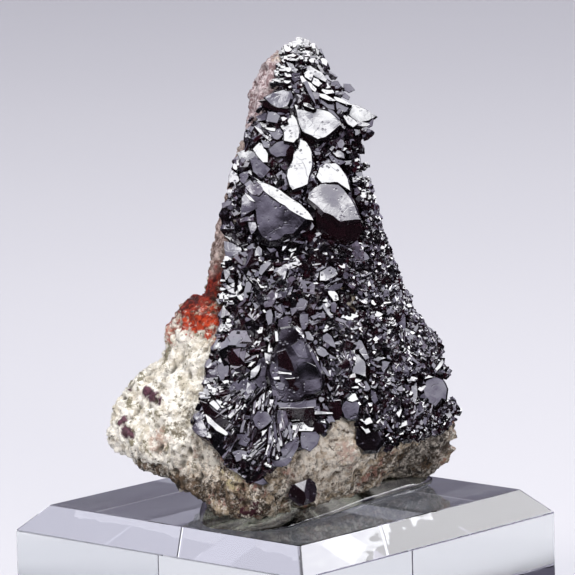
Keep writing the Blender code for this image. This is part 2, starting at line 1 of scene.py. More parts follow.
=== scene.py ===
# %% [markdown]
# # Cuprite on matrix
#
# The object is a mineral specimen: a tall wedge of pale, crumbly rock, its front and right flank
# overgrown with dark, mirror-bright crystals of cuprite. It stands in a puddle of clear resin on a
# bevelled block of clear acrylic, one corner of which points at the viewer.
#
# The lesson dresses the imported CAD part. Its solids give every place and size; each is replaced here
# by a finer mesh with the finish of the real thing. All lengths are metres in the part's own frame:
# the origin is under the middle of the block and +Z is up.

import itertools
import math

import bmesh
import bpy
import numpy as np
from mathutils import Matrix, Vector
from mathutils.bvhtree import BVHTree


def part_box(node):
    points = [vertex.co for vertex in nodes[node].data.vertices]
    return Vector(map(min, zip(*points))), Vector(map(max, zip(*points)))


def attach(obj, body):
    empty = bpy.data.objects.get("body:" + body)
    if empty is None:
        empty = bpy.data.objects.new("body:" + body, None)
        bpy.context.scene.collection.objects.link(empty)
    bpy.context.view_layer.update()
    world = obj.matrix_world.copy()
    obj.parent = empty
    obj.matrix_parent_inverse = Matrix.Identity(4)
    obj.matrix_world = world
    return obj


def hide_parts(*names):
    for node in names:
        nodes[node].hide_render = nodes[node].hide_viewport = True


MM = 0.001
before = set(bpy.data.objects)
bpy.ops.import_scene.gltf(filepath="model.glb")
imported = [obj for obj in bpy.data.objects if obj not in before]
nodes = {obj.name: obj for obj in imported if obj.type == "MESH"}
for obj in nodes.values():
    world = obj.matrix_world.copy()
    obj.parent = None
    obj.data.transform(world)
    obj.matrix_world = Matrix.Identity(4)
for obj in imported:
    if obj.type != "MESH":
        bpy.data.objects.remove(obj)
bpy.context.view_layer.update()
BLOCK_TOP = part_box("acrylic_block")[1].z

# %% [markdown]
# ## Small tools
#
# Two tools serve every material. The first turns a screen colour, as read in any paint program, into
# the linear light that a renderer works with. The second adds one node to a material with its
# settings and links, so that a material reads from top to bottom. The others put these two to use:
# they mix two colours, draw a mask of patches, and push places or normals about by a random pattern.

# %% Colours and nodes


def linear(hex_colour):
    """sRGB hex to linear RGBA: c / 12.92 below 0.04045, else ((c + 0.055) / 1.055) to the power 2.4."""
    screen = np.array([int(hex_colour[i:i + 2], 16) / 255 for i in (1, 3, 5)])
    light = np.where(screen <= 0.04045, screen / 12.92, ((screen + 0.055) / 1.055) ** 2.4)
    return (*light.tolist(), 1.0)


def add_node(tree, kind, inputs=None, **settings):
    """Adds a node: settings are its properties, inputs its sockets, each a value or an output to link."""
    made = tree.nodes.new(kind)
    for name, value in settings.items():
        setattr(made, name, value)
    for socket, value in (inputs or {}).items():
        if isinstance(value, bpy.types.NodeSocket):
            tree.links.new(value, made.inputs[socket])
        else:
            made.inputs[socket].default_value = value
    return made


def new_material(name):
    """A material with its tree, its shader, and the object coordinates that its patterns read."""
    material = bpy.data.materials.new(name)
    material.use_nodes = True
    tree = material.node_tree
    place = add_node(tree, "ShaderNodeTexCoord").outputs["Object"]
    return material, tree, tree.nodes["Principled BSDF"], place


def per_mm(size):
    """The scale of a pattern on metres whose parts are so many millimetres wide."""
    return 1 / (size * MM)


def mixed(tree, low, high, share):
    """The output of a mix of two colours, each a hex value or another node's output."""
    colours = {i: linear(c) if isinstance(c, str) else c for i, c in ((6, low), (7, high))}
    return add_node(tree, "ShaderNodeMix", {0: share, **colours}, data_type="RGBA").outputs[2]


def patches(tree, place, size, low, high, detail=3.0, rough=0.5):
    """A mask of patches about so many millimetres wide, sharpened between two noise levels."""
    source = add_node(
        tree, "ShaderNodeTexNoise", {"Vector": place, "Scale": per_mm(size), "Detail": detail, "Roughness": rough}
    )
    edge = {"Value": source.outputs["Fac"], 1: low, 2: high, 3: 0.0, 4: 1.0}
    return add_node(tree, "ShaderNodeMapRange", edge).outputs[0]


def pushed(tree, start, pattern, reach):
    """start + reach × (colour - 0.5): places or normals pushed about by the random colours of a pattern."""
    colours = {0: pattern.outputs["Color"], 1: (0.5, 0.5, 0.5)}
    centred = add_node(tree, "ShaderNodeVectorMath", colours, operation="SUBTRACT").outputs[0]
    push = {0: centred, 1: (reach, reach, reach), 2: start}
    return add_node(tree, "ShaderNodeVectorMath", push, operation="MULTIPLY_ADD").outputs[0]


print("a screen grey of one half is", round(linear("#808080")[0], 3), "in linear light")

# %% [markdown]
# A mesh is made from arrays of corners and triangles in one go, which is far faster than adding them
# one by one. Each piece then rides on the root body, hides the imported node that it replaces, and
# takes its material. An attribute called tone can give every corner a number
# that the piece's material reads.

# %% Meshes from arrays


def add_piece(name, corners, triangles, material, node, smooth=False, tone=None):
    """A piece of the object from an (n, 3) array of corners and an (m, 3) array of triangles."""
    mesh = bpy.data.meshes.new(name)
    mesh.vertices.add(len(corners))
    mesh.vertices.foreach_set("co", np.asarray(corners, np.float32).ravel())
    mesh.loops.add(3 * len(triangles))
    mesh.loops.foreach_set("vertex_index", np.asarray(triangles, np.int32).ravel())
    mesh.polygons.add(len(triangles))
    mesh.polygons.foreach_set("loop_start", np.arange(0, 3 * len(triangles), 3, dtype=np.int32))
    mesh.update(calc_edges=True)
    mesh.shade_smooth() if smooth else mesh.shade_flat()
    if tone is not None:
        mesh.attributes.new("tone", "FLOAT", "POINT").data.foreach_set("value", np.asarray(tone, np.float32))
    mesh.materials.append(material)
    piece = bpy.data.objects.new(name, mesh)
    bpy.context.scene.collection.objects.link(piece)
    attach(piece, "root")
    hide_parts(node)
    print(name, len(corners), "corners,", len(triangles), "triangles")


def mesh_arrays(mesh):
    """The corners, triangles and corner normals of a mesh as arrays."""
    mesh.calc_loop_triangles()
    corners = np.empty(3 * len(mesh.vertices), np.float32)
    triangles = np.empty(3 * len(mesh.loop_triangles), np.int32)
    normals = np.empty(3 * len(mesh.vertices), np.float32)
    mesh.vertices.foreach_get("co", corners)
    mesh.loop_triangles.foreach_get("vertices", triangles)
    mesh.vertices.foreach_get("normal", normals)
    return corners.reshape(-1, 3).astype(float), triangles.reshape(-1, 3), normals.reshape(-1, 3).astype(float)


# %% [markdown]
# ## The camera
#
# The photograph looks down a little at the corner of the block, from far away with a long lens, so
# the block's edges hardly converge. The camera comes first, because the outlines of the main
# crystals are given as they are seen from it. Its place is 600 mm in front of the specimen and
# 140 mm above the table, turned down 8.8 degrees and rolled by just over one degree.

# %% Camera
EYE = np.array([0.9, -600.0, 140.0]) * MM
LOOK_DOWN = math.radians(8.8)
ROLL = math.radians(-1.3)
LENS_MM = 288.5

camera_data = bpy.data.cameras.new("studio_camera")
camera_data.lens = LENS_MM
camera_data.sensor_width = 36
camera_data.clip_end = 50
camera = bpy.data.objects.new("studio_camera", camera_data)
camera.matrix_world = (
    Matrix.Translation(EYE) @ Matrix.Rotation(math.pi / 2 - LOOK_DOWN, 4, "X") @ Matrix.Rotation(ROLL, 4, "Z")
)
bpy.context.scene.collection.objects.link(camera)
bpy.context.scene.camera = camera
print("camera at", [round(c, 4) for c in camera.location])

# %% [markdown]
# ## Random bumps, worked out by hand
#
# Broken rock is rough at every size at once. Two patterns give that roughness. Smooth noise blends
# random numbers that sit at the corners of a grid of cubes, and makes swells and dents. Grain
# distance measures how far a point is from the nearest of many scattered centres, and makes the
# rounded crumbs of a rock built of small grains. Both work on whole arrays of points at once, and
# both always give the same numbers.

# %% Noise


def cell_value(cells, seed):
    """A fixed number from 0 to 1 for each whole-number cell: the digits far behind the point of a sine."""
    mix = np.sin(cells @ np.array([127.1, 311.7, 74.7]) + 19.19 * seed) * 43758.5453
    return mix - np.floor(mix)


def noise(points, size, seed):
    """Smooth noise from -1 to 1: corner values weighted by 3t² - 2t³ along each side of a cell."""
    cell = points / (size * MM)
    low = np.floor(cell)
    t = cell - low
    t = t * t * (3 - 2 * t)
    total = np.zeros(len(points))
    for corner in itertools.product((0, 1), repeat=3):
        share = np.prod(np.where(corner, t, 1 - t), axis=1)
        total += share * cell_value(low + corner, seed)
    return 2 * total - 1


def grain_distance(points, size, seed):
    """Distance to the nearest grain centre, in grain sizes. Each cube of the grid holds one centre."""
    cell = points / (size * MM)
    low = np.floor(cell)
    nearest = np.full(len(points), 9.0)
    for step in itertools.product((-1, 0, 1), repeat=3):
        home = low + step
        centre = home + np.stack([cell_value(home, seed + k) for k in range(3)], axis=1)
        nearest = np.minimum(nearest, np.linalg.norm(cell - centre, axis=1))
    return nearest


print("noise at three points:", noise(np.eye(3) * MM, 0.7, 1).round(3))

# %% [markdown]
# ## The rock
#
# The matrix is a crumbly, iron-stained limonite and calcite rock: white and granular on the left
# lobe, tan and pinkish below, with a patch of red ochre and vermilion on the shoulder. A sculptor
# would carve it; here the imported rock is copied, its loose triangles merged, and the copy remeshed to
# an even skin fine enough to carry crumbs. The skin is smoothed so that the solid's flat facets
# vanish, and then every corner moves along its normal by the sum of the two patterns at several sizes.

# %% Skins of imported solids
MERGE_WITHIN = 0.001 * MM


def even_skin(node, voxel, smoothing):
    """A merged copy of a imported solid, remeshed to even faces of the given size and smoothed."""
    bm = bmesh.new()
    bm.from_mesh(nodes[node].data)
    bmesh.ops.remove_doubles(bm, verts=bm.verts, dist=MERGE_WITHIN)
    mesh = bpy.data.meshes.new(node + "_skin")
    bm.to_mesh(mesh)
    bm.free()
    skin = bpy.data.objects.new(node + "_skin", mesh)
    bpy.context.scene.collection.objects.link(skin)
    remesh = skin.modifiers.new("even", "REMESH")
    remesh.mode = "VOXEL"
    remesh.voxel_size = voxel * MM
    soften = skin.modifiers.new("soften", "SMOOTH")
    soften.iterations = smoothing
    bpy.context.view_layer.update()
    even = bpy.data.meshes.new_from_object(skin.evaluated_get(bpy.context.evaluated_depsgraph_get()))
    arrays = mesh_arrays(even)
    bpy.data.objects.remove(skin)
    return arrays


ROCK_VOXEL = 0.29
ROCK_SMOOTHING = 10
rock_corners, rock_triangles, rock_normals = even_skin("matrix_rock", ROCK_VOXEL, ROCK_SMOOTHING)
print("rock skin:", len(rock_corners), "corners")

# %% [markdown]
# The white lobe on the left is a little more crumbly than the rest. Crumbs of three sizes are domes
# round the grain centres, and pits about a millimetre wide are bitten out where another noise runs
# high. Below the red patch the rock bulges into a shoulder, which is a smooth bell
# of height added round one corner of the skin. How high each corner stands in the fine relief is kept
# as its tone, from which the material paints shade into the low places.

# %% Rough rock
WHITE_LOBE = np.array([-17.0, -7.0, 30.0]) * MM
LOBE_REACH = 16 * MM
CRUMBS = ((1.9, 0.62), (1.05, 0.66), (0.62, 0.55))
CRUMB_BEND = 0.4 * MM
PIT_DEPTH = 1.6
PITS_FROM = 0.30
SHOULDER = np.array([-12.6, -3.0, 25.8]) * MM + (0, 0, BLOCK_TOP)
SHOULDER_HEIGHT = 1.9
SHOULDER_REACH = 3.3 * MM
ROCK_FOOT = BLOCK_TOP + 0.3 * MM


def rock_swell(points):
    """Broad swells and dents in millimetres: noise of two sizes."""
    return 0.45 * noise(points, 4.5, 4) + 0.32 * noise(points, 2.1, 5)


def rock_crumbs(points):
    """Fine relief in millimetres: each size of crumb adds height × (0.5 - grain distance), less pits."""
    crumbly = np.clip(1.35 - np.linalg.norm(points - WHITE_LOBE, axis=1) / LOBE_REACH, 0.85, 1.0)
    bent = points + CRUMB_BEND * np.stack([noise(points, 1.3, s) for s in (1, 2, 3)], axis=1)
    crumbs = 0
    for k, (size, height) in enumerate(CRUMBS):
        crumbs = crumbs + height * (0.5 - grain_distance(bent, size, 6 + 3 * k))
    pits = PIT_DEPTH * np.clip(noise(points, 1.1, 17) - PITS_FROM, 0, 1)
    return (crumbs - pits) * crumbly + 0.10 * noise(points, 0.6, 14)


shoulder = rock_corners[np.argmin(np.abs(rock_corners - SHOULDER).sum(axis=1))]
from_shoulder = np.linalg.norm(rock_corners - shoulder, axis=1) / SHOULDER_REACH
crumbs = rock_crumbs(rock_corners)
relief = rock_swell(rock_corners) + crumbs + SHOULDER_HEIGHT * np.exp(-from_shoulder ** 2)
# The crumb height, from which the material paints shade into the low places.
rock_shade_height = np.clip(0.66 + 0.9 * crumbs, 0, 1)
rock_corners = rock_corners + rock_normals * (relief * MM)[:, None]
rock_corners[rock_corners[:, 2] < ROCK_FOOT, 2] = ROCK_FOOT
print("crumbs in mm:", round(float(crumbs.min()), 2), "to", round(float(crumbs.max()), 2))

# %% [markdown]
# ### Seen places
#
# The stains and the large crystals are placed as they are seen from the camera. A seen place is where
# a line of sight crosses the upright plane y = 0, in millimetres across and above the block. Followed
# further, the line meets the rock.

# %% Lines of sight
rock_tree = BVHTree.FromPolygons(rock_corners.tolist(), rock_triangles.tolist())


def lines_of_sight(outline):
    """Vectors from the eye to seen places: (across, 0, above the block) - eye."""
    seen = np.array(outline, float) * MM
    return np.stack([seen[:, 0], 0 * seen[:, 0], seen[:, 1] + BLOCK_TOP], axis=1) - EYE


def rock_at(seen):
    """The point of the rock that the line of sight to a seen place meets first, or else the nearest to it."""
    sight = lines_of_sight([seen])[0]
    hit = rock_tree.ray_cast(Vector(EYE), Vector(sight))[0]
    return hit or rock_tree.find_nearest(Vector(EYE + sight))[0]


print("rock in the middle of the view:", [round(c / MM, 1) for c in rock_at((0.0, 6.0))])

# %% [markdown]
# ### The rock's finish
#
# Weathered rock is matt, so its roughness is high and its colour does all the work. The ground is a
# brown with grains of beige, white, pink and dark over it, each kind in patches of a noise of its own.
# A stain is painted round the point of rock at a seen place: the distance to that point, pushed about
# by noise so that its border frays, is turned into a mask. Stains are speckled in the same way as the
# ground, so that none is flat; a band of dark umber stains at the lower left is painted shadow under the
# edge of the white lobe. Then shade is painted into the low places by the tone of the mesh, and a cell
# pattern paints shade into dark gaps between grains, in patches. A bump adds grains and grit too
# fine to model, and a few grains are smooth enough to sparkle.

# %% Rock material
FAR_PUSH = 9 * MM
NEAR_PUSH = 1.6 * MM
SHARP_BORDER = 0.3
rock_material, tree, shader, place = new_material("weathered_matrix_rock")
broad_warp = add_node(tree, "ShaderNodeTexNoise", {"Vector": place, "Scale": per_mm(2.2), "Detail": 4.0})
fine_noise = {"Vector": place, "Scale": per_mm(1.0), "Detail": 6.0, "Roughness": 0.65}
fine_warp = add_node(tree, "ShaderNodeTexNoise", fine_noise)
frayed = pushed(tree, place, broad_warp, FAR_PUSH)
finely_frayed = pushed(tree, place, fine_warp, FAR_PUSH)
slightly_bent = pushed(tree, place, fine_warp, NEAR_PUSH)


def stain(centre, radius, soft, border=frayed):
    """A mask that is 1 within a radius of a point, all in mm above the block, and fades over a soft border."""
    spot = (centre[0] * MM, centre[1] * MM, centre[2] * MM + BLOCK_TOP)
    away = add_node(tree, "ShaderNodeVectorMath", {0: border, 1: spot}, operation="DISTANCE").outputs["Value"]
    edge = {"Value": away, 1: (radius + soft) * MM, 2: (radius - soft) * MM, 3: 0.0, 4: 1.0}
    return add_node(tree, "ShaderNodeMapRange", edge, interpolation_type="SMOOTHSTEP").outputs[0]


def stain_seen(seen, radius, soft, border=frayed):
    """A stain round the point of the rock that shows at a seen place."""
    return stain((rock_at(seen) - Vector((0, 0, BLOCK_TOP))) / MM, radius, soft, border)


def speckled(colour, *grains):
    """A colour with grains over it, each a colour, a size in mm and the two noise levels of its patches."""
    for shade, size, low, high in grains:
        colour = mixed(tree, colour, shade, patches(tree, place, size, low, high, detail=8.0, rough=0.72))
    return colour


colour = speckled(
    "#53473b", ("#bcab93", 2.6, 0.46, 0.53), ("#f6f0e5", 1.2, 0.52, 0.56), ("#a6796c", 2.2, 0.56, 0.61),
    ("#29221c", 1.0, 0.54, 0.58),
)
cream = speckled("#c9b9a4", ("#f8f1e5", 1.1, 0.43, 0.52), ("#5d4c3a", 0.9, 0.555, 0.60))
foot_grains = speckled("#35322f", ("#8b847d", 1.2, 0.44, 0.53), ("#ded7cd", 0.6, 0.55, 0.60))
colour = mixed(tree, colour, cream, stain_seen((6.5, 6.5), 6.2, 2.0))
colour = mixed(tree, colour, foot_grains, stain_seen((17.0, 4.5), 5.8, 1.6))
for size, shade in ((0.38, "#fbf4e8"), (0.46, "#2d251e")):
    specks = add_node(tree, "ShaderNodeTexNoise", {"Vector": slightly_bent, "Scale": per_mm(size), "Detail": 2.0})
    share = add_node(tree, "ShaderNodeMapRange", {"Value": specks.outputs["Fac"], 1: 0.53, 2: 0.66, 3: 0.0, 4: 0.5})
    colour = mixed(tree, colour, shade, share.outputs[0])
white = stain((-17, -8, 14.4), 11.5, 2.5)
chalk = speckled("#d0c9b9", ("#f8f5ec", 1.9, 0.42, 0.51), ("#8a8570", 1.6, 0.555, 0.60), ("#4f4a3c", 0.7, 0.60, 0.65))
colour = mixed(tree, colour, chalk, white)
red_ochre = speckled("#3a110e", ("#8a2e1f", 0.9, 0.44, 0.56))
vermilion = speckled("#741c0d", ("#bf4426", 0.8, 0.43, 0.54))
purple = speckled("#452e38", ("#684552", 0.6, 0.45, 0.55))
# Dark umber, used for dark patches and for a band of painted shadow under the edge of the white lobe.
umber_and_painted_shadow = speckled("#27211b", ("#6d5c4b", 0.9, 0.45, 0.56))
# Each row: the seen place, the radius and half the width of the border in millimetres, and the colour.
STAINS = (
    ((-10.0, 27.5), 2.9, 0.8, red_ochre),
    ((-11.8, 26.6), 2.3, 0.7, red_ochre),
    ((-8.6, 29.2), 2.2, 0.6, red_ochre),
    ((-8.3, 31.2), 1.3, 0.6, "#6e4038"),
    ((-14.8, 22.4), 1.2, 0.8, "#a5604f"),
    ((-14.2, 24.4), 1.3, 0.7, red_ochre),
    ((-13.0, 25.9), 1.5, 0.7, red_ochre),
    ((-12.2, 24.0), 1.3, 0.5, vermilion),
    ((-10.5, 23.7), 1.6, 0.5, vermilion),
    ((-8.9, 23.5), 1.5, 0.5, vermilion),
    ((-8.2, 25.0), 0.9, 0.5, vermilion),
    ((-18.0, 14.7), 0.85, 0.2, purple),
    ((-17.2, 13.9), 0.85, 0.2, purple),
    ((-16.4, 13.3), 0.6, 0.2, purple),
    ((-20.2, 15.0), 0.4, 0.15, purple),
    ((-21.4, 10.9), 0.8, 0.2, purple),
    ((-21.0, 9.3), 0.95, 0.2, purple),
    ((-20.2, 8.8), 0.55, 0.2, purple),
    ((-16.7, 8.1), 1.3, 0.8, "#b9a092"),
    ((-13.8, 9.1), 1.2, 0.6, "#8d8574"),
    ((-12.4, 11.3), 1.0, 0.6, "#7c7464"),
    # The umber rows at the lower left, from here to (-9.8, -1.3), are painted shadow under the edge of the white
    # lobe.
    ((-19.2, 5.0), 1.3, 0.6, umber_and_painted_shadow),
    ((-16.8, 3.8), 1.6, 0.7, umber_and_painted_shadow),
    ((-14.2, 2.4), 1.9, 0.8, umber_and_painted_shadow),
    ((-11.7, 0.9), 1.5, 0.6, umber_and_painted_shadow),
    ((-10.0, 5.5), 1.3, 0.4, "#d9d6cc"),
    ((-8.4, 1.4), 1.5, 0.7, umber_and_painted_shadow),
    ((-6.6, 0.1), 1.5, 0.7, umber_and_painted_shadow),
    ((-9.9, 2.8), 1.0, 0.5, cream),
    ((-12.6, 4.4), 1.3, 0.6, cream),
    ((-9.8, -1.3), 0.9, 0.5, umber_and_painted_shadow),
    ((-6.9, 2.5), 1.0, 0.6, "#c8bd98"),
    ((-4.6, -1.8), 1.2, 0.4, "#45202c"),
    ((-1.6, -2.4), 1.3, 0.4, "#e6e0d3"),
    ((8.0, 5.5), 1.1, 0.7, "#cdb2a4"),
    ((4.0, 7.6), 1.2, 0.6, cream),
    ((10.2, 7.6), 1.1, 0.6, cream),
    ((5.6, 2.6), 1.1, 0.5, cream),
    ((12.4, 4.4), 1.0, 0.5, umber_and_painted_shadow),
    ((15.3, 5.3), 1.5, 0.7, umber_and_painted_shadow),
    ((18.6, 4.3), 1.6, 0.7, umber_and_painted_shadow),
)
for seen, radius, soft, shade in STAINS:
    border = slightly_bent if soft < SHARP_BORDER else finely_frayed
    colour = mixed(tree, colour, shade, stain_seen(seen, radius, soft, border))
pink_grey = speckled("#6f5b54", ("#c3b1ab", 0.9, 0.44, 0.56))
colour = mixed(tree, colour, pink_grey, stain((-9.5, 0, 40), 9.0, 2.0))
pale_grey = speckled("#80696a", ("#d3c6c8", 0.7, 0.44, 0.56))
colour = mixed(tree, colour, pale_grey, stain((-4, 1, 54), 6.0, 1.5))

# Painted shade: the low places of the relief are darkened towards a dark brown, greyer on the white lobe.
height = add_node(tree, "ShaderNodeAttribute", attribute_name="tone").outputs["Fac"]
painted_low_shade = add_node(tree, "ShaderNodeMapRange", {"Value": height, 1: 0.42, 2: 0.05, 3: 0.0, 4: 0.85})
colour = mixed(tree, colour, mixed(tree, "#3a3027", "#6b675c", white), painted_low_shade.outputs[0])
colour = speckled(colour, ("#3c2f28", 0.55, 0.62, 0.72))
grain = add_node(tree, "ShaderNodeTexVoronoi", {"Vector": slightly_bent, "Scale": per_mm(0.75)})
from_grain = grain.outputs["Distance"]
# Painted shade in the gaps between grains, in patches.
painted_gap_shade = add_node(tree, "ShaderNodeMapRange", {"Value": from_grain, 1: 0.45, 2: 0.8, 3: 0.0, 4: 0.55})
loose = patches(tree, place, 3.0, 0.46, 0.58)
painted_gap_shade = add_node(tree, "ShaderNodeMath", {0: painted_gap_shade.outputs[0], 1: loose}, operation="MULTIPLY")
colour = mixed(tree, colour, "#3a3128", painted_gap_shade.outputs[0])
grit = add_node(tree, "ShaderNodeTexNoise", {"Vector": place, "Scale": per_mm(0.5), "Detail": 6.0, "Roughness": 0.7})
grains_and_grit = {0: from_grain, 1: -0.2, 2: grit.outputs["Fac"]}
fine_relief = add_node(tree, "ShaderNodeMath", grains_and_grit, operation="MULTIPLY_ADD").outputs[0]
bump = add_node(tree, "ShaderNodeBump", {"Height": fine_relief, "Strength": 1.0, "Distance": 0.55 * MM})
glint = add_node(tree, "ShaderNodeTexVoronoi", {"Vector": place, "Scale": per_mm(0.45)})
sparkle = add_node(tree, "ShaderNodeMapRange", {"Value": glint.outputs["Color"], 1: 0.86, 2: 0.9, 3: 0.9, 4: 0.25})
tree.links.new(colour, shader.inputs["Base Color"])
tree.links.new(sparkle.outputs[0], shader.inputs["Roughness"])
tree.links.new(bump.outputs[0], shader.inputs["Normal"])
print(len(STAINS), "stains on the rock")
add_piece(
    "crumbly_matrix_rock", rock_corners, rock_triangles, rock_material, "matrix_rock",
    smooth=True, tone=rock_shade_height,
)

# %% [markdown]
# ## The cuprite
#
# Cuprite is copper oxide. Its crystals are so dense that they mirror like dark metal, so the finish
# is a nearly black, glossy solid with a high refractive index, and the tone of a crystal brings up a
# little maroon. A real face is never one perfect mirror: growth leaves patches tilted by a degree or
# two against each other, and these flash separately as the stone turns. That mosaic is drawn with a
# cell pattern whose random colours tip the normal a little, while a slow noise sways it. A bump makes
# the faint hammered look of the large faces, with pits in some patches and, in others, fine seams
# along the borders of a coarser and wandering cell pattern.

# %% Cuprite material
CUPRITE_IOR = 2.3
SEAM_WANDER = 3 * MM
HAMMER_DEPTH = 0.05 * MM
PIT_DULLNESS = 0.22


def make_cuprite(name, patch, tilt, sway, hammer, gloss, seam):
    """Dark glossy copper oxide: patches in mm tipped by tilt, waves by sway, relief by hammer, seams so deep."""
    material, tree, shader, place = new_material(name)
    cells = add_node(tree, "ShaderNodeTexVoronoi", {"Vector": place, "Scale": per_mm(patch), "Randomness": 1.0})
    swell = add_node(tree, "ShaderNodeTexNoise", {"Vector": place, "Scale": per_mm(2.6), "Detail": 1.0})
    normal = add_node(tree, "ShaderNodeNewGeometry").outputs["Normal"]
    normal = pushed(tree, pushed(tree, normal, cells, tilt), swell, sway)
    normal = add_node(tree, "ShaderNodeVectorMath", {0: normal}, operation="NORMALIZE").outputs[0]

    fine = {"Vector": place, "Scale": per_mm(0.7), "Detail": 4.0, "Roughness": 0.6}
    dents = add_node(tree, "ShaderNodeTexNoise", fine).outputs["Fac"]
    holes = add_node(tree, "ShaderNodeTexVoronoi", {"Vector": place, "Scale": per_mm(0.6), "Randomness": 1.0})
    deep = {"Value": holes.outputs["Distance"], 1: 0.32, 2: 0.16, 3: 0.0, 4: 2.0}
    hole = add_node(tree, "ShaderNodeMapRange", deep)
    pitted = patches(tree, place, 2.2, 0.50, 0.60)
    pit = add_node(tree, "ShaderNodeMath", {0: hole.outputs[0], 1: pitted}, operation="MULTIPLY").outputs[0]
    wander = {"Vector": pushed(tree, place, swell, SEAM_WANDER), "Scale": per_mm(2.8)}
    net = add_node(tree, "ShaderNodeTexVoronoi", wander, feature="DISTANCE_TO_EDGE")
    thin = {"Value": net.outputs["Distance"], 1: 0.028, 2: 0.004, 3: 0.0, 4: seam}
    line = add_node(tree, "ShaderNodeMapRange", thin)
    grown = patches(tree, place, 2.4, 0.50, 0.58)
    line = add_node(tree, "ShaderNodeMath", {0: line.outputs[0], 1: grown}, operation="MULTIPLY").outputs[0]
    relief = add_node(tree, "ShaderNodeMath", {0: dents, 1: pit}, operation="SUBTRACT").outputs[0]
    relief = add_node(tree, "ShaderNodeMath", {0: relief, 1: line}, operation="SUBTRACT").outputs[0]
    raised = {"Height": relief, "Strength": hammer, "Distance": HAMMER_DEPTH, "Normal": normal}
    bump = add_node(tree, "ShaderNodeBump", raised)

    tone = add_node(tree, "ShaderNodeAttribute", attribute_name="tone").outputs["Fac"]
    depth = add_node(tree, "ShaderNodeTexNoise", {"Vector": place, "Scale": per_mm(1.6), "Detail": 2.0})
    body = mixed(tree, mixed(tree, "#09080b", "#34101a", tone), "#0e0d10", depth.outputs["Fac"])
    rough = add_node(tree, "ShaderNodeMapRange", {"Value": dents, 1: 0.35, 2: 0.7, 3: gloss, 4: gloss * 2.4})
    dulled = {0: pit, 1: PIT_DULLNESS, 2: rough.outputs[0]}
    dull = add_node(tree, "ShaderNodeMath", dulled, operation="MULTIPLY_ADD")
    tree.links.new(body, shader.inputs["Base Color"])
    tree.links.new(dull.outputs[0], shader.inputs["Roughness"])
    tree.links.new(bump.outputs[0], shader.inputs["Normal"])
    shader.inputs["IOR"].default_value = CUPRITE_IOR
    return material


face_cuprite = make_cuprite(
    "submetallic_cuprite_faces", patch=0.9, tilt=0.06, sway=0.45, hammer=0.50, gloss=0.06, seam=0.6
)
druse_cuprite = make_cuprite(
    "submetallic_cuprite_druse", patch=0.6, tilt=0.14, sway=0.20, hammer=0.25, gloss=0.04, seam=0.0
)
print("cuprite materials made")

# %% [markdown]
# ### The ground of the crust
#
# Between the crystals one looks down into a dark, finely crystalline ground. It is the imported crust
# itself, remeshed and drawn in by about a quarter of a millimetre so that the crystals added next
# stand out of it instead of lying in its surface.

# %% Crust ground
CRUST_VOXEL = 0.45
CRUST_SMOOTHING = 22
CRUST_SWELL = 0.25
CRUST_SINK = 0.25
crust_corners, crust_triangles, crust_normals = even_skin("cuprite_crystals", CRUST_VOXEL, CRUST_SMOOTHING)
moved = CRUST_SWELL * noise(crust_corners, 0.9, 21) - CRUST_SINK
sunk = crust_corners + crust_normals * (moved * MM)[:, None]
add_piece(
    "crust_ground", sunk, crust_triangles, druse_cuprite, "cuprite_crystals",
    tone=0.3 + 0.3 * noise(sunk, 3.0, 22),
)

# %% [markdown]
# ### Crystal forms
#
# Cuprite grows as cubes and octahedra, most often as both at once. A crystal is the space inside a
# set of planes, so its corners are the points where three planes meet and no other plane cuts them
# off. Real ones are never regular, because they grow faster on one side: each form gets its planes
# at slightly random distances. About two dozen forms are enough for thousands of crystals, as each is
# also stretched and turned its own way.

# %% Forms
random = np.random.default_rng(7)
CUBE_NORMALS = np.array([axis * sign for axis in np.eye(3) for sign in (1, -1)])
OCTAHEDRON_NORMALS = np.array(list(itertools.product((1, -1), repeat=3))) / math.sqrt(3)


def crystal_form(normals, distances):
    """Corners and triangles of the solid n·p <= d for every plane. Each face is a fan round its corners."""
    trios = np.array(list(itertools.combinations(range(len(normals)), 3)))
    trios = trios[np.abs(np.linalg.det(normals[trios])) > 1e-3]
    meets = np.linalg.solve(normals[trios], distances[trios][..., None])[..., 0]
    inside = (meets @ normals.T <= distances + 1e-7).all(axis=1)
    corners = np.unique(meets[inside].round(7), axis=0)
    triangles = []
    for normal, distance in zip(normals, distances):
        on = np.flatnonzero(np.abs(corners @ normal - distance) < 1e-5)
        if len(on) < 3:
            continue
        arms = corners[on] - corners[on].mean(axis=0)
        side = arms[0] / np.linalg.norm(arms[0])
        order = on[np.argsort(np.arctan2(arms @ np.cross(normal, side), arms @ side))]
        triangles += [(order[0], order[k], order[k + 1]) for k in range(1, len(order) - 1)]
    return corners, np.array(triangles)


def random_form(cube, octahedron, cut_corners):
    """A cube with some of its corners cut by octahedron planes, all at slightly random distances."""
    chosen = random.permutation(8)[:cut_corners]
    normals = np.concatenate([CUBE_NORMALS, OCTAHEDRON_NORMALS[chosen]])
    distances = np.array([cube] * 6 + [octahedron] * cut_corners) * random.uniform(0.82, 1.15, 6 + cut_corners)
    return crystal_form(normals, distances)


FORMS = [
    random_form(cube, octahedron, cut_corners)
    for cube, octahedron, cut_corners in ((0.5, 0.62, 8), (0.58, 0.52, 8), (0.5, 0.60, 4))
    for _ in range(6)
]
PLAIN_FORMS = [random_form(cube=0.5, octahedron=0.62, cut_corners=3) for _ in range(8)]
print(len(FORMS), "forms with", [len(t) for _, t in FORMS], "triangles")

# %% [markdown]
# ### Turning and placing many crystals at once
#
# Crystals in a druse are not turned quite at random: neighbours often grow in step, and a whole
# group then flashes together. So the surface is divided into patches round centres a few millimetres
# apart, each with its own random turn, and most crystals take their patch's turn with a small error
# of their own. Turns are quaternions made into matrices, thousands at a time.

# %% Turns and placing
NEARLY_UP = np.array([0.25, 0.1, 1.0])
TURN_ERROR = 0.035


